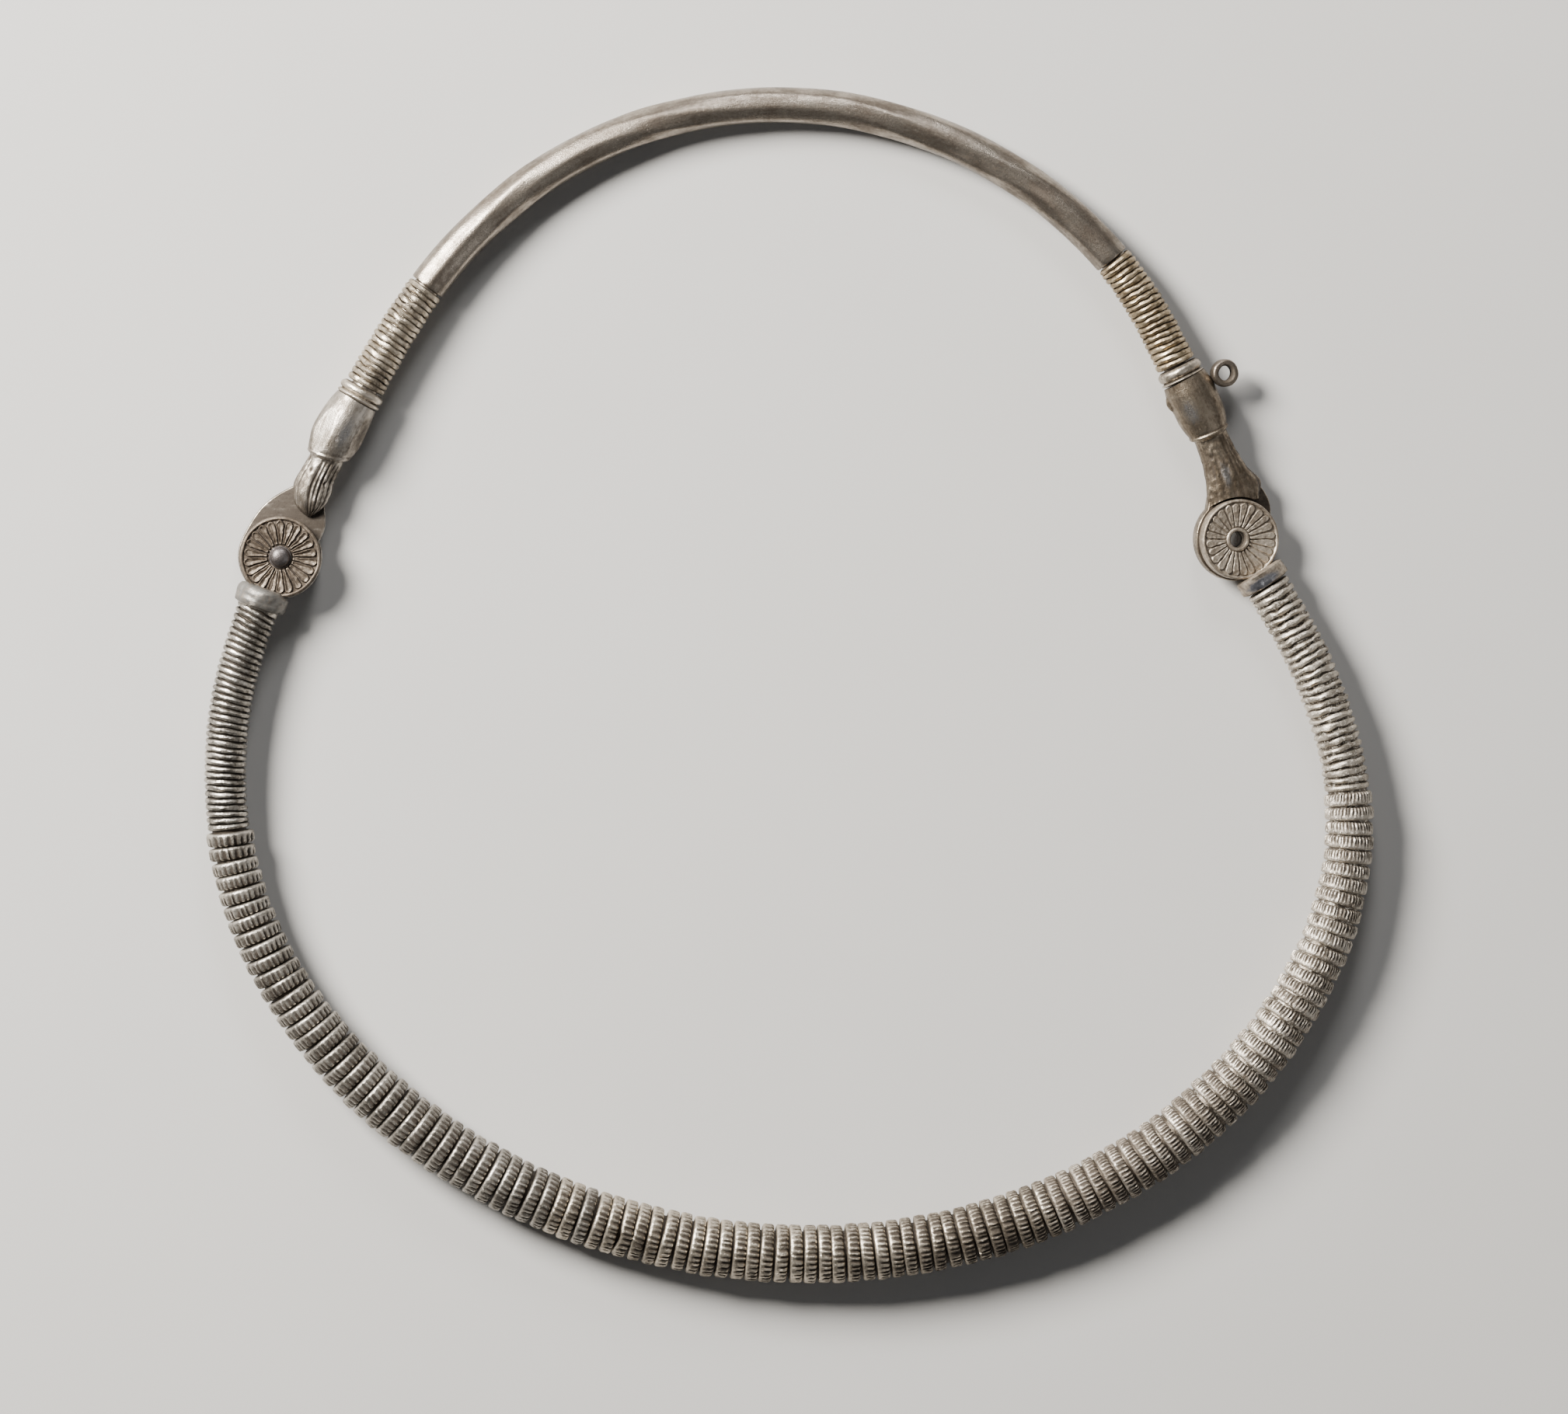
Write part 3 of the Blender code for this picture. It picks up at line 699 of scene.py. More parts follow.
def wire_ring(middle, radius, wire, seed):
    """A closed turn of wire, which finishes a winding."""
    corners = [2 * math.pi * i / WIRE_SIDES for i in range(WIRE_SIDES)]
    core = radius - wire / 2
    profile = [(middle + wire / 2 * math.cos(a), core + wire / 2 * math.sin(a)) for a in corners]
    bm = turn(profile, WIRE_STEPS, closed=True)
    points = Points(bm)
    # Dirt and painted shade: the wire is darker on its side towards the rod and the turns beside it.
    points.depth = np.clip(0.72 - 0.95 * (points.radius - core) / (wire / 2), 0.0, 1.0)
    points.grow(0.06 * wander(points.place, 1.2, seed))
    points.write()
    return bm


def wound_wire(start, turns, pitch, wire, radii, lean, unevenness, seed, lumps=()):
    """Close turns of round wire, swept along a helix. radii are the winding's at its start and its end."""
    end = start + turns * pitch
    bm = fresh_body()
    circle = bmesh.ops.create_circle(bm, segments=WIRE_SIDES, radius=wire / 2)["verts"]
    middle = radii[0] - wire / 2
    upright = Matrix.Translation((start + wire / 2, 0.0, middle)) @ Matrix.Rotation(math.pi / 2, 4, "X")
    bmesh.ops.transform(bm, matrix=upright, verts=circle)
    steps = round(turns * WIRE_STEPS)
    spin(bm, circle + bm.edges[:], -2 * math.pi * turns, steps, advance=(turns * pitch - wire) / steps)
    bmesh.ops.holes_fill(bm, edges=[edge for edge in bm.edges if edge.is_boundary])
    points = Points(bm)
    height = (points.radius - middle) / (wire / 2)
    rolled = np.column_stack([points.x * 0.8, 1.6 * np.sin(points.angle), 1.6 * np.cos(points.angle)])
    # Dirt and painted shade: the wire is darker on its side towards the rod and the turns beside it.
    points.depth = np.clip(0.72 - 0.95 * height + 0.3 * wander(rolled, 0.6, seed + 9.0), 0.0, 1.0)
    rough = wander(rolled, 0.8, seed) + 0.6 * wander(rolled, 0.3, seed + 2.0)
    wider = lerp(*radii, (points.x - start) / (end - start)) - radii[0]
    points.grow(wider + unevenness * rough)
    inside = smooth_step((points.x - start) / 1.2) * smooth_step((end - points.x) / 1.2)
    sway = 1.4 * unevenness * wander(rolled, 0.7, seed + 5.0) + lean(points.x) * points.place[:, 1]
    points.place[:, 0] += inside * sway
    for where, angle, size in lumps:
        round_it = (points.angle - angle) * middle / (1.5 * size)
        near = np.exp(-(((points.x - where) / size) ** 2) - round_it**2)
        points.grow(0.22 * near)
        points.depth *= 1 - near
    points.write()
    for place, at, radius in ((start + wire / 2, start, radii[0]), (end - wire / 2, end, radii[1])):
        absorb(bm, wire_ring(place, radius, wire, seed + at))
    return bm


def steep_near_collar(x):
    return 0.16 * np.exp(-np.abs(x - FRONT_WIND_START) / 9.0)


def tilted(x):
    return -0.08 + 0.07 * np.sin(x / 2.3)


def level(x):
    return 0.0 * x


def make_windings(sizes):
    """The four plain wire windings at the hoops' ends."""
    uneven = sizes.wire_unevenness / MM
    narrow, wide = (d / 2 for d in FRONT_WINDING_DIAMETERS.values())
    thin, thick = (d / 2 for d in REAR_WINDING_DIAMETERS)
    lumps = [(18.3, 0.2, 0.7), (20.6, -0.1, 0.55), (23.4, 0.5, 0.4), (28.0, -0.7, 0.4)]
    knots = [(RING_END + 27.2, 0.1, 0.6), (RING_END + 21.0, -0.6, 0.5), (RING_END + 9.5, 0.5, 0.5)]
    # Start, gap between turns, radii at the ends, lean, unevenness, seed, and lumps: distance, angle, size
    windings = {
        ("front", "left"): (FRONT_WIND_START, 0.18, (narrow, narrow), steep_near_collar, 1.0, 1.0, lumps),
        ("front", "right"): (RING_END + FIT_GAP, 0.30, (wide, wide), tilted, 2.0, 2.0, knots),
        ("rear", "left"): (REAR_WIND_START, 0.10, (thick, thin), level, 1.3, 4.0, ()),
        ("rear", "right"): (REAR_WIND_RIGHT_START, 0.10, (thin, thick), level, 1.3, 4.0, ()),
    }
    for (hoop, side), (start, gap, radii, lean, rough, seed, lumps) in windings.items():
        turns, pitch = WIRES[hoop, side]
        bm = wound_wire(start, turns, pitch, pitch - gap, radii, lean, rough * uneven, seed, lumps)
        line, body = (FRONT, FRONT_BODY) if hoop == "front" else (REAR, REAR_BODY)
        bend(bm, line)
        look = f"wound silver, {hoop} {side}"
        finish(f"wound_wire_{hoop}_{side}", bm, body, f"{hoop}_winding_{side}", look)


def ring_section(half, outer, core):
    """One ring cut along the rod: points (distance from its middle, radius), round its section."""
    shoulder = [(-1.0, 0.80), (-0.98, 0.46), (-0.90, 0.21), (-0.72, 0.05), (-0.42, 0.0)]
    shoulder += [(0.10, 0.01), (0.56, 0.04), (0.81, 0.15), (0.95, 0.38), (1.0, 0.80)]
    crown = [(half * across, outer - drop) for across, drop in shoulder]
    return [(-0.94 * half, core), *crown, (0.94 * half, core)]


def notch(points, half, middle, notches, deepest, crusted, soil_and_shade, random):
    """Cuts cross grooves into a ring, all but its left edge, each of its own depth, and roughens it."""
    fractions = np.array([-0.15, 0.15, 0.36, 0.64])
    step = np.round(points.angle * notches * 4 / (2 * math.pi)).astype(int) % (notches * 4)
    which = step // 4
    in_slot = step % 4 < 2
    shift = random.normal(0.0, 0.10, notches)[which]
    angle = (which + fractions[step % 4] + shift) * 2 * math.pi / notches
    across = (points.x - middle) / half
    angle += random.normal(0.0, 0.014) * across + random.uniform(0.0, 2 * math.pi)
    weight = ramp(across, -0.52, -0.26)
    cut = random.uniform(0.45, 1.0, notches)[which]
    radius = points.radius - deepest * cut * in_slot * weight
    radius += random.normal(0.0, lerp(0.03, 0.05, crusted), len(across))
    # The soil amount is painted shade on the rings right of the bottom; the random parts are dirt, more where
    # crusted.
    grime_and_shade = soil_and_shade + random.uniform(0.0, 0.2)
    grime_and_shade += lerp(0.45, 1.0, crusted) * random.uniform(-0.1, 0.3, len(across))
    points.depth = grime_and_shade + np.where(in_slot, (0.58 + 0.4 * cut) * weight, 0.0)
    # Dirt and painted shade: the ring's flanks low down, between the rings, are darkened.
    low = points.radius < points.radius.max() - 0.50
    points.depth[low] = 0.9
    points.turn_to(angle, radius)


def kink(points, angle, reach):
    """Pulls one stretch of a ring aside, where it was bent."""
    away = points.away_from(angle)
    points.place[:, 0] += reach * bell(away, 0.35) - 0.5 * reach * bell(away + 0.7, 0.3)
    points.grow(0.25 * bell(away - 0.25, 0.15))
    points.depth += 0.4 * bell(away, 0.5)


def notched_ring(middle, half, outer, spacing, deepest, crusted, soil_and_shade, random):
    """One ring, set a little askew on the rod."""
    notches = round(2 * math.pi * outer / spacing)
    section = ring_section(half, outer, float(core_radius(middle)) + 0.12)
    bm = turn([(middle + x, radius) for x, radius in section], notches * 4, closed=True)
    points = Points(bm)
    notch(points, half, middle, notches, deepest, crusted, soil_and_shade, random)
    if abs(middle - KINKED_RING) < half:
        kink(points, -0.35, 0.32)
    lean = random.normal(0.0, 0.016, 2)
    points.place[:, 0] += points.place[:, 1:] @ lean + random.normal(0.0, 0.035)
    points.place[:, 1:] += random.normal(0.0, 0.045, 2)
    points.write()
    return bm


def make_notched_rings(sizes):
    """The separate notched rings threaded on the front rod, in three groups along it."""
    random = np.random.RandomState(SEED)
    pitch = (RING_END - RING_START) / RING_COUNT
    spacing = sizes.notch_spacing / MM
    deepest = sizes.notch_depth / MM
    names = ("left", "middle", "right")
    mixed = np.arange(RING_COUNT) + random.normal(0.0, RINGS_MIXED, RING_COUNT)
    group = np.clip(mixed * len(names) // RING_COUNT, 0, len(names) - 1)
    for k, name in enumerate(names):
        bm = bmesh.new()
        for i in np.flatnonzero(group == k):
            middle = RING_START + (i + 0.5) * pitch
            outer = float(ring_radius(middle)) + random.normal(0.0, 0.035)
            half = sizes.ring_width / MM / 2 * random.uniform(0.97, 1.03)
            share = i / RING_COUNT
            crusted = float(ramp(share, *CRUST_SETS_IN))
            # Painted shade: the rings right of the bottom are darkened for the shade that falls on them.
            soil_and_shade = 0.30 * float(ramp(share, 0.48, 0.62) * (1 - ramp(share, 0.74, 0.86)))
            coarse = 1.35 if i < COARSE_RINGS else lerp(1.1, 0.68, crusted)
            size = spacing * coarse, deepest * lerp(coarse, 0.62, crusted)
            absorb(bm, notched_ring(middle, half, outer, *size, crusted, soil_and_shade, random))
        bend(bm, FRONT)
        look = f"notched silver, {name}"
        finish(f"notched_rings_{name}", bm, FRONT_BODY, "notched_rings", look, crease=60.0)


def packed_radius(x):
    """How far out the dirt between the rings and turns reaches."""
    left, right = (FRONT_WINDING_DIAMETERS[side] / 2 for side in ("left", "right"))
    beside = np.where(x < RING_START, left - 0.62, right - 0.42)
    under_rings = (x > RING_START) & (x < RING_END)
    below = lerp(*PACKED_BELOW, ramp(ring_share(x), *CRUST_SETS_IN))
    return np.where(under_rings, np.maximum(ring_radius(x) - below, core_radius(x)), beside)


def make_front_core():
    """The front hoop's rod, with the dirt that is packed between turns and rings."""
    bm = turn(rounded(FRONT_WIND_START, FRONT_WIND_END, packed_radius, 0.3, 2.5), 24)
    points = Points(bm)
    points.depth = lerp(0.75, 0.10, ramp(ring_share(points.x), 0.62, 0.92))
    points.write()
    bend(bm, FRONT)
    finish("front_rod", bm, FRONT_BODY, "front_core", "packed dirt")


def hammered(points, start, depth, seed):
    """Long hammered flats: the round rod is flattened a little, in directions that shift slowly along it."""
    along = points.x - start
    swing = 0.7 * np.sin(along / 17.0 + seed) + 0.25 * np.sin(along / 6.1 + 2.0 * seed)
    facet = 1.0 - np.abs(np.sin(ROD_FACETS / 2 * (points.angle + swing)))
    fine = wander(points.place * (0.30, 1.0, 1.0), 1.9, seed)
    points.grow(depth * (0.85 * facet - 0.5 + 0.45 * fine))
    points.depth = np.clip(0.16 - 0.4 * fine, 0.0, 0.5)


def make_rear_rod(sizes):
    """The plain hammered rod of the rear hoop, necked under its windings."""
    left_step = REAR_WIND_LEFT_END + FIT_GAP
    right_step = REAR_WIND_RIGHT_START - FIT_GAP

    def neck(x):
        return ROD_END_DIAMETER / 2

    profile = rounded(-REAR_COLLAR_HALF, left_step, neck, 0.2, 3.0)[:-1]
    profile += rounded(left_step, right_step, rod_radius, 0.25, 0.7)[1:-1]
    profile += rounded(right_step, REAR.length + REAR_COLLAR_HALF, neck, 0.2, 3.0)[1:]
    bm = turn(profile, ROD_SIDES)
    points = Points(bm)
    whole = points.place.copy()
    hammered(points, left_step, sizes.hammer_depth / MM, 3.0)
    # The rod grows darker towards its right end.
    points.depth += 0.20 * ramp(points.x, 0.55 * REAR.length, 0.78 * REAR.length)
    covered = (points.x < left_step + 0.1) | (points.x > right_step - 0.1)
    points.place[covered] = whole[covered]
    points.write()
    bend(bm, REAR)
    finish("hammered_rod", bm, REAR_BODY, "rear_rod", "hammered silver")


def make_rear_collars():
    """The double-beaded end rings between the rear windings and the terminals."""
    inner = ROD_END_DIAMETER / 2 + 0.1
    places = np.linspace(-REAR_COLLAR_HALF, REAR_COLLAR_HALF, 25)
    # Each collar's middle along the rod, and the share of its length that the thin bead takes
    for side, middle, split in (("left", 0.0, 0.36), ("right", REAR.length, 0.24)):
        outer = REAR_COLLAR_DIAMETERS[side] / 2
        across = places / REAR_COLLAR_LENGTH + 0.5
        across = across if side == "left" else 1.0 - across
        thin = 0.85 * np.sin(math.pi * across / split)
        broad = np.sin(math.pi * (across - split) / (1 - split))
        beads = np.abs(np.where(across < split, thin, broad))
        profile = [(middle + x, outer - 0.55 * (1 - bead) ** 1.5) for x, bead in zip(places, beads)]
        profile += [(middle + REAR_COLLAR_HALF, inner), (middle - REAR_COLLAR_HALF, inner)]
        bm = turn(profile, 64, closed=True)
        points = Points(bm)
        points.depth = np.clip((outer - points.radius) * 1.6, 0.0, 1.0)
        worn = 0.05 * wander(points.place * (0.3, 1.0, 1.0), 0.5, 7.0)
        points.grow(0.09 * wander(points.place, 1.3, 6.0) + worn)
        points.write()
        bend(bm, REAR)
        finish(f"beaded_collar_{side}", bm, REAR_BODY, f"rear_collar_{side}", "beaded silver")


def lap_plate(web, arc, place, hole_radius, hole_offset):
    """The round plate that turns under a disc and runs out into a web towards its neck."""
    angles = np.radians(np.linspace(*arc, 56))
    round_part = [(PLATE_RADIUS * math.cos(a), PLATE_RADIUS * math.sin(a)) for a in angles]
    flare = Centreline([round_part[-1], *web, round_part[0]], 0.0, 0.0, samples=30).xy[1:-1]
    bottom = -FIT_GAP / 2 - PLATE_THICKNESS
    bm = fresh_body()
    outline = [bm.verts.new((x, y, bottom)) for x, y in [*round_part, *flare]]
    edges = [bm.edges.new(pair) for pair in zip(outline, outline[1:] + outline[:1])]
    bore = bmesh.ops.create_circle(bm, segments=48, radius=hole_radius)["verts"]
    bmesh.ops.translate(bm, verts=bore, vec=(hole_offset, 0.0, bottom))
    edges += list({edge for vert in bore for edge in vert.link_edges})
    bmesh.ops.triangle_fill(bm, use_beauty=True, edges=edges)
    raised = bmesh.ops.extrude_face_region(bm, geom=bm.faces[:])["geom"]
    lifted = [item for item in raised if isinstance(item, bmesh.types.BMVert)]
    bmesh.ops.translate(bm, verts=lifted, vec=(0.0, 0.0, PLATE_THICKNESS))
    bmesh.ops.recalc_face_normals(bm, faces=bm.faces)
    corners = [edge for edge in bm.edges if edge.calc_face_angle(0.0) > 1.2]
    bevel = {"offset": 0.22, "segments": 3, "profile": 0.5, "material": -1, "affect": "EDGES"}
    bmesh.ops.bevel(bm, geom=corners, **bevel)
    points = Points(bm)
    points.depth = np.where(points.place[:, 2] > -FIT_GAP / 2 - 0.02, 0.80, 0.05)
    # Painted shade: the bore's walls are darkened fully, standing in for the dark of the hole.
    in_bore = np.hypot(points.place[:, 0] - hole_offset, points.place[:, 1]) < hole_radius + 0.3
    points.depth[in_bore] = 1.0
    points.write()
    remember(bm)
    bm.transform(place)
    return bm


def around(points, where, angle, length, width):
    """1 at a place on a turned body, falling to 0 over a length along it and a width round it."""
    across = points.away_from(angle) * np.maximum(points.radius, 0.5)
    return np.exp(-(((points.x - where) / length) ** 2) - (across / width) ** 2)


def cut_facet(points, where, slant, reach, tilt, length=4.5):
    """Files a flat on a turned body, facing out at a slant and tipped along X. Says which points it moved."""
    aim = np.array([math.sin(tilt), math.sin(slant) * math.cos(tilt), math.cos(slant) * math.cos(tilt)])
    over = (points.place - (where, 0.0, 0.0)) @ aim - reach
    over = np.where(np.abs(points.x - where) < length, np.maximum(over, 0.0), 0.0)
    points.place -= over[:, None] * aim
    return over > 0.015


def pit(points, *pits):
    """Small dark holes: (distance along, angle, size, depth) each."""
    for where, angle, size, depth in pits:
        near = around(points, where, angle, 1.3 * size, 0.8 * size)
        points.grow(-depth * near)
        points.depth = np.maximum(points.depth, 1.6 * near * (near > 0.15))


def cast_neck(profile, step_place, grooves, lip_height, skew, skirt):
    """A terminal's smooth swelling socket, its lip, and the ribbed and rougher neck below it."""
    places, widths, heights = (np.array(column) for column in zip(*profile))
    stations = np.unique(np.concatenate([np.arange(places[0], places[-1], 0.2), places]))
    bm = turn([(places[0], 0.0), *((x, 1.0) for x in stations), (places[-1], 0.0)], CAST_SIDES)
    points = Points(bm)
    droop = 0.4 * np.cos(points.angle) - skew * np.sin(points.angle)
    x = points.x - droop * bell(points.x - step_place, 2.5)
    on_neck = ramp(x, step_place, step_place + 0.8)
    dip = np.zeros(len(x))
    for angle, width, depth in grooves:
        dip = np.maximum(dip, depth * bell(points.away_from(angle), width))
    wavy = 1.0 + 0.5 * wander(points.place * (0.5, 1.0, 1.0), 1.2, 5.0)
    dip = dip * on_neck * wavy
    lip = lip_height * bell(x - step_place + 0.45, 0.2)
    lip -= 0.8 * lip_height * bell(x - step_place + 0.85, 0.2)
    worn = 0.05 * wander(points.place * (0.6, 2.2, 2.2), 1.6, 2.0)
    worn += 0.07 * on_neck * wander(points.place * (1.0, 2.6, 2.6), 0.7, 3.0)
    points.place[:, 1] *= flowing(x, places, widths) - dip + lip + worn
    points.place[:, 2] *= flowing(x, places, heights) - dip + lip + worn
    points.grow(skirt * around(points, step_place + 8.3, 1.75, 1.6, 1.4))
    speckled = 0.35 * wander(points.place * (0.7, 2.6, 2.6), 0.35, 4.0)
    # Dirt and painted shade in the grooves and below the lip; the neck is also dirtier in its hollows and
    # speckles.
    sunk = 0.10 + 3.2 * dip + (0.30 - 4.0 * worn + speckled) * on_neck + 5.0 * np.maximum(-lip, 0.0)
    points.depth = np.clip(sunk, 0.0, 1.0)
    points.write()
    return bm


def left_casting(under):
    """The left socket with its filed flats, and the ribbed neck. under are the grooves of its underside."""
    grooves = [(-1.15, 0.05, 0.10), (-0.90, 0.05, 0.12), (-0.12, 0.06, 0.24), (0.12, 0.05, 0.17)]
    grooves += [(0.36, 0.06, 0.26), (0.62, 0.05, 0.15), (0.88, 0.07, 0.14)]
    grooves += [(angle, 0.14, 0.20) for angle in under]
    bm = cast_neck(LEFT_NECK, SOCKET_END["left"], grooves, lip_height=0.08, skew=0.55, skirt=0.0)
    points = Points(bm)
    cut_facet(points, 5.2, math.radians(62.0), 3.34, 0.02)
    points.depth += 0.50 * around(points, 5.0, 1.15, 4.0, 1.3) + 0.55 * around(points, 7.5, -1.35, 2.8, 0.8)
    points.depth += 0.50 * around(points, 3.0, -0.55, 1.4, 1.6)
    oval = cut_facet(points, 7.0, math.radians(-36.0), 3.13, 0.06, 3.4)
    points.depth[oval] = 0.0
    points.worn = 0.62 * around(points, 6.0, 0.25, 3.6, 1.1)
    points.worn[oval] = 0.0
    pit(points, (12.9, -0.65, 0.24, 0.2), (14.0, 0.65, 0.3, 0.3))
    pit(points, (7.3, 0.04, 0.26, 0.1), (11.6, -1.2, 0.3, 0.15))
    points.write()
    return bm


def right_casting(under):
    """The smooth brown socket and the flat neck with faint flutes. under are the grooves of its underside."""
    grooves = [(angle, 0.09, 0.07) for angle in (-0.95, -0.6, -0.25, 0.15, 0.5, 0.85)]
    grooves += [(angle, 0.14, 0.14) for angle in under]
    bm = cast_neck(RIGHT_NECK, SOCKET_END["right"], grooves, lip_height=0.10, skew=0.0, skirt=1.2)
    points = Points(bm)
    cut_facet(points, 5.6, math.radians(-34.0), 3.42, 0.05)
    flake = around(points, 3.5, -1.45, 1.1, 0.5)
    points.grow(0.38 * flake * (flake > 0.3))
    points.depth = np.maximum(points.depth, 0.9 * bell(flake - 0.28, 0.1))
    bluish = 0.58 * around(points, 16.4, -0.05, 2.4, 0.9)
    # Bare metal and painted sheen: the broad bare patch on the socket's left, at 5.6 along, stands in for the
    # sheen of light there.
    points.worn = np.maximum(bluish, 0.56 * around(points, 5.6, -0.45, 2.8, 1.7))
    pit(points, (13.2, -0.55, 0.24, 0.15), (14.9, 0.3, 0.2, 0.12), (16.0, -0.8, 0.22, 0.12))
    points.write()
    return bm


def make_terminals():
    """The cast terminals: socket, neck and lap plate in one piece each."""
    castings = {
        "left": (left_casting, LEFT_TERMINAL, LEFT_WEB, LEFT_ARC),
        "right": (right_casting, RIGHT_TERMINAL, RIGHT_WEB, RIGHT_ARC),
    }
    for side, (casting, line, web, arc) in castings.items():
        bm = casting((-2.7, -2.1, -1.5, 1.5, 2.1, 2.7))
        bend(bm, line)
        keep_clear(bm, LAPS[side][0], DISC_RADIUS + CLEARANCE, above=-FIT_GAP / 2 - 0.05)
        absorb(bm, lap_plate(web, arc, *LAPS[side]))
        look = f"cast silver, {side}"
        finish(f"cast_terminal_{side}", bm, REAR_BODY, f"terminal_{side}", look, crease=40.0)


def chase_petals(points, petals, floor, rise, inner, outer, soiled_and_shaded, bulge):
    """Raises tongue-shaped petals from a disc's floor: thin proud outlines round a hollow, or full lobes."""
    random = np.random.RandomState(SEED + petals)
    unruly = wander(points.place * (0.0, 1.0, 1.0), 0.8, petals)
    broken = wander(points.place * (0.0, 1.0, 1.0), 0.45, petals + 5.0)
    reach = points.radius
    arc = 2 * math.pi * reach / petals
    turns = (points.angle / (2 * math.pi) % 1.0) * petals
    which = np.minimum(turns.astype(int), petals - 1)
    from_middle = (turns - which - 0.5) * arc
    off = from_middle + random.normal(0.0, 0.05, petals)[which] * arc + 0.10 * unruly
    ends = (outer - np.abs(random.normal(0.0, 0.08, petals)))[which]
    width = random.uniform(0.40, 0.49, petals)[which] * arc
    middle = ends - 1.3 * width
    straight = width - np.abs(off)
    pointed = width - np.hypot(off, (reach - middle) / 1.3)
    inside = np.where(reach < middle, straight, pointed)
    inside = np.minimum(inside, (reach - inner) * 0.8)
    inside = np.minimum(inside, arc / 2 - np.abs(from_middle) - 0.02)
    strength = random.uniform(0.65, 1.1, petals)[which] + 0.35 * broken
    raised = ramp(inside, -0.02, 0.09)
    outline = bell(inside - 0.12, 0.09) * (1 - bulge)
    hollow = ramp(inside, 0.16, 0.36) * (1 - bulge)
    vein = bell(off, 0.07) * hollow * (random.uniform(0, 1, petals)[which] > 0.5)
    round_top = bulge * np.sqrt(np.clip(inside / np.maximum(width, 0.05), 0.0, 1.0))
    height = raised * (0.62 - 0.35 * bulge) + outline * 0.38 * strength - hollow * 0.20 - vein * 0.2
    height += 0.75 * round_top * strength + 0.10 * broken
    on_face = (np.abs(points.x - floor) < 1e-3) & (reach > inner - 0.01) & (reach < outer + 0.01)
    points.place[:, 0] += np.where(on_face, rise * height, 0.0)
    # Dirt and painted shade: the foot of each outline and the floor between the petals are darkened.
    line = bell(inside + 0.02, 0.09) * (0.95 + 0.5 * broken)
    between = 0.42 * (1.0 - raised) * (inside < -0.1)
    sunk = line + between + (0.15 * hollow + 0.5 * vein + 0.3 * unruly) * raised
    points.depth = np.where(on_face, np.clip(sunk * soiled_and_shaded, 0.0, 1.0), points.depth)


def rosette_disc(side, rise, soiled_and_shaded):
    """The upper lap: a disc with a rim, a ring of petals and a plain hub round its hole."""
    place, hole_radius, hole_offset = LAPS[side]
    base = FIT_GAP / 2
    face = base + DISC_THICKNESS
    floor = face - rise
    rim = DISC_RADIUS - RIM_WIDTH
    hub = floor + HUB_RISE[side]
    profile = [(base, hole_radius), (base, DISC_RADIUS - 0.12), (base + 0.12, DISC_RADIUS)]
    profile += [(face - 0.26, DISC_RADIUS), (face - 0.08, DISC_RADIUS - 0.07), (face, DISC_RADIUS - 0.2)]
    profile += [(face, rim + 0.12), (face - 0.08, rim + 0.02)]
    profile += [(floor, reach) for reach in np.linspace(rim - 0.08, HUB_RADIUS, 42)]
    profile += [(hub - 0.05, HUB_RADIUS - 0.12), (hub, HUB_RADIUS - 0.24), (hub, hole_radius + 0.14)]
    profile += [(hub - 0.10, hole_radius), (face - 1.0, hole_radius)]
    bm = turn(profile, PETAL_COUNT[side] * PETAL_STEPS, closed=True)
    points = Points(bm)
    # Painted shade: the hole's walls are darkened to stand in for the dark of the hole; the rest starts a
    # little dirty.
    points.depth = np.where(points.radius < hole_radius + 0.05, 0.9, 0.10)
    points.depth[points.x < face - 0.3] = 0.35
    chase_petals(points, PETAL_COUNT[side], floor, rise, HUB_RADIUS, rim, soiled_and_shaded, PETAL_BULGE[side])
    edge = points.radius > rim - 0.1
    uneven = wander(points.place * (0.2, 1, 1), 1.5, 8.0)
    points.place[:, 0] += np.where(points.x > floor - 0.01, 0.05 * wander(points.place, 1.2, 3.0), 0.0)
    points.place[:, 0] -= np.where(edge & (points.x > floor), 0.10 * np.abs(uneven), 0.0)
    points.depth = np.where(edge & (points.x > face - 0.1), 0.3 + 0.6 * uneven, points.depth)
    points.grow(np.where(edge, 0.08 * wander(points.place * (0.2, 1, 1), 2.4, 8.0), 0.0))
    towards_rim = (rim - np.minimum(points.radius, rim)) / (rim - HUB_RADIUS)
    points.place[:, 2] -= hole_offset * np.minimum(1.0, towards_rim)
    points.write()
    stand(bm, place)
    return bm


def end_collar(place, middle, length, lumpiness, waist, worn_flat):
    """The front rod's end collar, cut back round the plate that turns beneath it."""
    start = middle - COLLAR_HALF

    def radius(x):
        return COLLAR_RADIUS - waist * np.cos(2.6 * (x - middle))

    bm = turn(rounded(start, start + length, radius, 0.75, 0.2), 96)
    points = Points(bm)
    lumps = wander(points.place, 1.8, 4.0) + 0.5 * wander(points.place, 0.8, 5.0)
    points.grow(np.where(points.radius > 2.0, lumpiness * lumps, 0.0))
    points.depth = np.clip((0.08 if worn_flat else 0.3) - 0.7 * lumps, 0.0, 0.8)
    points.worn[:] = 0.0 if worn_flat else 0.62
    if worn_flat:
        cut_facet(points, middle - 0.35, 0.12, COLLAR_RADIUS - 0.50, -0.10, 0.85)
        points.worn = 1.3 * around(points, middle - 0.35, 0.12, 0.75, 3.0)
        pit(points, (middle - 0.3, 0.15, 0.3, 0.15))
    points.write()
    bend(bm, FRONT)
    keep_clear(bm, place, PLATE_RADIUS + CLEARANCE, below=FIT_GAP / 2 + 0.30)
    return bm


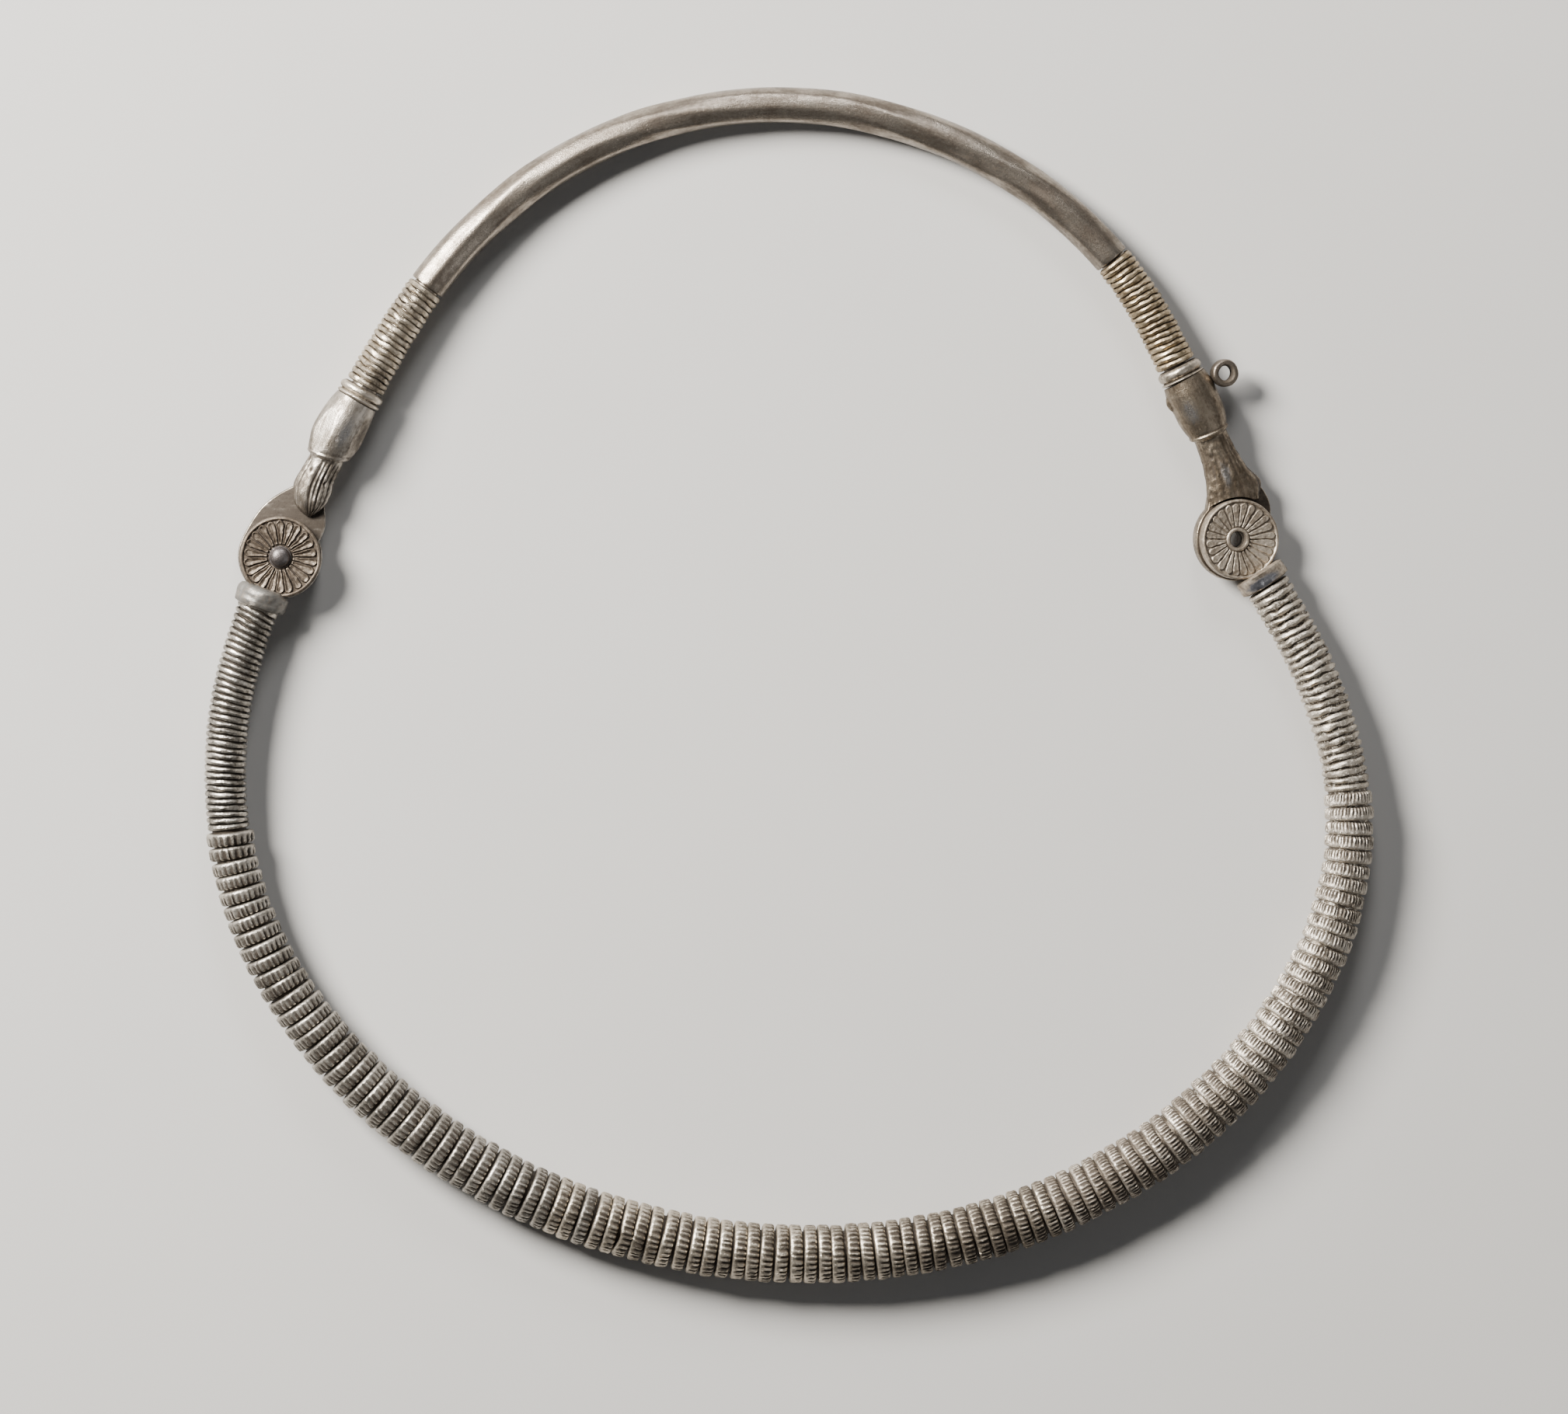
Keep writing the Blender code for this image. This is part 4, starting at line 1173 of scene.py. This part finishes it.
def make_rosettes(sizes):
    """The two rosettes, each a disc and an end collar in one casting."""
    rise = sizes.petal_rise / MM
    # Each disc's rise and how strongly dirt and painted shade darken it, then its collar: middle, length,
    # lumps, waist, worn flat or not
    laps = {
        "left": (rise, 1.0, (0.0, COLLAR_LENGTH + 0.8, 0.26, -0.05, False)),
        "right": (0.75 * rise, 0.7, (FRONT.length, COLLAR_LENGTH, 0.12, 0.12, True)),
    }
    for side, (height, soiled_and_shaded, collar) in laps.items():
        bm = rosette_disc(side, height, soiled_and_shaded)
        absorb(bm, end_collar(LAPS[side][0], *collar))
        look = f"rosette silver, {side}"
        finish(f"chased_rosette_{side}", bm, FRONT_BODY, f"rosette_{side}", look, crease=50.0)


def make_hinge_rivet():
    """The hinge rivet: flat foot, shank and a polished domed head on a thin ring."""
    under = -FIT_GAP / 2 - PLATE_THICKNESS - 0.1
    over = FIT_GAP / 2 + DISC_THICKNESS - 0.30 + HUB_RISE["left"] + 0.1
    foot = under - RIVET_FOOT
    dome = RIVET_HEAD_RADIUS - 0.06
    profile = [(foot, 0.0), (foot, RIVET_HEAD_RADIUS - 0.3), (under - 0.3, RIVET_HEAD_RADIUS)]
    profile += [(under, RIVET_HEAD_RADIUS), (under, RIVET_RADIUS), (over, RIVET_RADIUS)]
    profile += [(over, RIVET_HEAD_RADIUS + 0.16), (over + 0.12, RIVET_HEAD_RADIUS + 0.1), (over + 0.14, dome)]
    for a in np.radians(np.linspace(8.0, 90.0, 14)):
        profile.append((over + 0.1 + (RIVET_HEAD_RISE - 0.1) * math.sin(a), dome * math.cos(a)))
    bm = turn(profile, 56)
    points = Points(bm)
    on_head = points.x > over + 0.2
    points.depth = np.where(on_head, 0.1, 0.45)
    points.grow(np.where(on_head, 0.05 * wander(points.place, 1.0, 7.0), 0.0))
    points.write()
    stand(bm, LAPS["left"][0])
    finish("rivet", bm, FRONT_BODY, "hinge_rivet", "rivet silver")


def make_chain_loop():
    """The short tube ring beside the right socket, which the lost chain hung from."""
    inner, outer = LOOP_RADII
    middle = (inner + outer) / 2
    wall = (outer - inner) / 2

    def squared(value):
        return np.sign(value) * abs(value) ** 0.6

    angles = np.linspace(0.0, 2 * math.pi, 20, endpoint=False)
    profile = [(LOOP_DEPTH / 2 * squared(math.cos(a)), middle + wall * squared(math.sin(a))) for a in angles]
    bm = turn(profile, 56, closed=True)
    points = Points(bm)
    points.depth = np.clip((outer - 0.25 - points.radius) * 1.3, 0.0, 1.0)
    points.grow(0.07 * wander(points.place, 1.1, 9.0))
    points.write()
    stand(bm, Matrix.Translation(LOOP_PLACE) @ Matrix.Rotation(LOOP_TILT, 4, "Y"))
    finish("loop", bm, REAR_BODY, "chain_loop", "loop silver")


def area_light(name, place, size, power, color=(1.0, 1.0, 1.0)):
    """A round soft light aimed at the middle of the torc."""
    data = bpy.data.lights.new(name, "AREA")
    data.shape = "DISK"
    data.size = size
    data.energy = power
    data.color = color
    lamp = put_in_scene(name, data)
    lamp.location = place
    lamp.rotation_euler = (-Vector(place)).to_track_quat("-Z", "Y").to_euler()


def make_floor(color):
    """A plain pale sheet under the torc."""
    bm = bmesh.new()
    bmesh.ops.create_grid(bm, x_segments=1, y_segments=1, size=3.0)
    mesh = as_mesh("floor", bm)
    floor = Finish("floor paper")
    shade = floor.grain(30.0, 2.0).between(0.3, 0.7)
    floor.set(Base_Color=floor.mix(shade, tuple(c * 0.985 for c in color), tuple(color)), Roughness=0.85)
    mesh.materials.append(floor.material)
    put_in_scene("floor", mesh)


def make_camera(view):
    """A long lens almost straight above, leaning a little to the left and to the back."""
    target = Vector((*VIEW_CENTRE, JOINT_HEIGHT)) * MM
    left = Matrix.Rotation(view.lean_left, 4, "Y").inverted()
    lean = left @ Matrix.Rotation(view.lean_back, 4, "X").inverted()
    away = lean @ Vector((0.0, 0.0, view.distance))
    data = bpy.data.cameras.new("camera")
    data.sensor_width = 36.0
    data.lens = data.sensor_width * view.distance / view.field_width
    camera = put_in_scene("camera", data)
    camera.matrix_world = Matrix.Translation(target + away) @ lean
    bpy.context.scene.camera = camera


def make_world(strength):
    world = bpy.data.worlds.new("studio")
    world.use_nodes = True
    background = world.node_tree.nodes["Background"].inputs
    background["Color"].default_value = (0.93, 0.95, 1.0, 1.0)
    background["Strength"].default_value = strength
    bpy.context.scene.world = world


# The add-on: what a user may set, one operator for each kind of piece, and their panel


def length_of(name, description, default):
    return FloatProperty(name=name, description=description, default=default, unit="LENGTH")


def angle_of(name, description, default):
    return FloatProperty(name=name, description=description, default=math.radians(default), subtype="ANGLE")


def amount_of(name, description, default):
    return FloatProperty(name=name, description=description, default=default)


def color_of(name, description, default):
    return FloatVectorProperty(name=name, description=description, default=default, subtype="COLOR")


class TorcSizes(bpy.types.PropertyGroup):
    """Sizes of the torc's fine surface."""

    ring_width: length_of("Ring Width", "Width of one notched ring along the rod", 0.00186)
    notch_spacing: length_of("Notch Spacing", "Distance between the cross grooves round a ring", 0.00080)
    notch_depth: length_of("Notch Depth", "Depth of the deepest cross grooves", 0.00033)
    wire_unevenness: length_of("Wire Unevenness", "How far the wound wire strays from an even helix", 0.00011)
    hammer_depth: length_of("Hammer Depth", "Depth of the rod's hammer facets", 0.00013)
    petal_rise: length_of("Petal Rise", "Height of the petals' outlines above the rosette's floor", 0.00036)


class TorcColors(bpy.types.PropertyGroup):
    """Colours of the old silver and of the floor."""

    bright: color_of("Bright Silver", "Silver where it is rubbed clean", (0.56, 0.50, 0.42))
    tarnish: color_of("Tarnish", "Silver where it has darkened", (0.15, 0.125, 0.095))
    # The soil colour darkens what lies deep, for dirt and as painted shade alike.
    soil_and_shade: color_of("Soil", "Brown dirt held in the recesses", (0.036, 0.026, 0.018))
    floor: color_of("Floor", "Colour of the plain floor", (0.50, 0.49, 0.475))


class TorcView(bpy.types.PropertyGroup):
    """Camera and lights."""

    distance: length_of("Camera Distance", "Distance from the camera to the torc", 1.8)
    field_width: length_of("Field Width", "Width that the picture takes in at the torc", 0.22793)
    lean_left: angle_of("Lean Left", "How far the camera leans towards the hinge", 2.5)
    lean_back: angle_of("Lean Back", "How far the camera leans towards the rear hoop", 3.0)
    key_power: amount_of("Key Light", "Power of the main light, from the upper left, in watts", 32.0)
    fill_power: amount_of("Fill Light", "Power of the weak light from the right, in watts", 0.6)
    back_power: amount_of("Back Light", "Power of the light behind the rear hoop, in watts", 2.5)
    world_strength: amount_of("World Strength", "Strength of the even light all round", 0.06)


class TORC_OT_rear_rod(bpy.types.Operator):
    """Adds the hammered rod of the rear hoop"""

    bl_idname = "torc.rear_rod"
    bl_label = "Hammered Rod"

    def execute(self, context):
        make_rear_rod(context.scene.torc_sizes)
        return {"FINISHED"}


class TORC_OT_rear_collars(bpy.types.Operator):
    """Adds the beaded collars at the rear hoop's ends"""

    bl_idname = "torc.rear_collars"
    bl_label = "Beaded Collars"

    def execute(self, context):
        make_rear_collars()
        return {"FINISHED"}


class TORC_OT_windings(bpy.types.Operator):
    """Adds the four windings of plain wire"""

    bl_idname = "torc.windings"
    bl_label = "Wire Windings"

    def execute(self, context):
        make_windings(context.scene.torc_sizes)
        return {"FINISHED"}


class TORC_OT_front_rod(bpy.types.Operator):
    """Adds the covered rod of the front hoop"""

    bl_idname = "torc.front_rod"
    bl_label = "Front Rod"

    def execute(self, context):
        make_front_core()
        return {"FINISHED"}


class TORC_OT_notched_rings(bpy.types.Operator):
    """Adds the notched rings over the front hoop's swollen middle"""

    bl_idname = "torc.notched_rings"
    bl_label = "Notched Rings"

    def execute(self, context):
        make_notched_rings(context.scene.torc_sizes)
        return {"FINISHED"}


class TORC_OT_terminals(bpy.types.Operator):
    """Adds the cast terminals with their sockets, necks and lap plates"""

    bl_idname = "torc.terminals"
    bl_label = "Cast Terminals"

    def execute(self, context):
        make_terminals()
        return {"FINISHED"}


class TORC_OT_rosettes(bpy.types.Operator):
    """Adds the chased rosettes with their end collars"""

    bl_idname = "torc.rosettes"
    bl_label = "Rosettes"

    def execute(self, context):
        make_rosettes(context.scene.torc_sizes)
        return {"FINISHED"}


class TORC_OT_rivet(bpy.types.Operator):
    """Adds the hinge rivet"""

    bl_idname = "torc.rivet"
    bl_label = "Hinge Rivet"

    def execute(self, context):
        make_hinge_rivet()
        return {"FINISHED"}


class TORC_OT_loop(bpy.types.Operator):
    """Adds the loop that the clasp pin's chain hung from"""

    bl_idname = "torc.loop"
    bl_label = "Chain Loop"

    def execute(self, context):
        make_chain_loop()
        return {"FINISHED"}


class TORC_OT_stage(bpy.types.Operator):
    """Adds the floor, the camera and the studio lights"""

    bl_idname = "torc.stage"
    bl_label = "Stage"

    def execute(self, context):
        view = context.scene.torc_view
        make_floor(context.scene.torc_colors.floor)
        make_camera(view)
        make_world(view.world_strength)
        area_light("key", (-0.55, 0.42, 0.50), 0.35, view.key_power, (1.0, 0.97, 0.92))
        area_light("fill", (0.6, -0.2, 0.5), 0.5, view.fill_power)
        area_light("back", (0.05, 0.65, 0.45), 0.25, view.back_power)
        return {"FINISHED"}


OPERATORS = (
    TORC_OT_rear_rod,
    TORC_OT_rear_collars,
    TORC_OT_windings,
    TORC_OT_front_rod,
    TORC_OT_notched_rings,
    TORC_OT_terminals,
    TORC_OT_rosettes,
    TORC_OT_rivet,
    TORC_OT_loop,
    TORC_OT_stage,
)
GROUPS = {"torc_sizes": TorcSizes, "torc_colors": TorcColors, "torc_view": TorcView}


class TORC_PT_panel(bpy.types.Panel):
    """Lists the torc's pieces in the 3D view's sidebar"""

    bl_idname = "TORC_PT_panel"
    bl_label = "Silver Torc"
    bl_space_type = "VIEW_3D"
    bl_region_type = "UI"
    bl_category = "Torc"

    def draw(self, context):
        for operator in OPERATORS:
            self.layout.operator(operator.bl_idname)
        for group in GROUPS:
            settings = getattr(context.scene, group)
            for name in settings.__annotations__:
                self.layout.prop(settings, name)


def register():
    for kind in (*GROUPS.values(), *OPERATORS, TORC_PT_panel):
        bpy.utils.register_class(kind)
    for name, group in GROUPS.items():
        setattr(bpy.types.Scene, name, PointerProperty(type=group))


def unregister():
    for name in GROUPS:
        delattr(bpy.types.Scene, name)
    for kind in (TORC_PT_panel, *OPERATORS, *GROUPS.values()):
        bpy.utils.unregister_class(kind)


def main():
    register()
    bpy.ops.torc.rear_rod()
    bpy.ops.torc.rear_collars()
    bpy.ops.torc.windings()
    bpy.ops.torc.front_rod()
    bpy.ops.torc.notched_rings()
    bpy.ops.torc.terminals()
    bpy.ops.torc.rosettes()
    bpy.ops.torc.rivet()
    bpy.ops.torc.loop()
    bpy.ops.torc.stage()


if __name__ == "__main__":
    main()
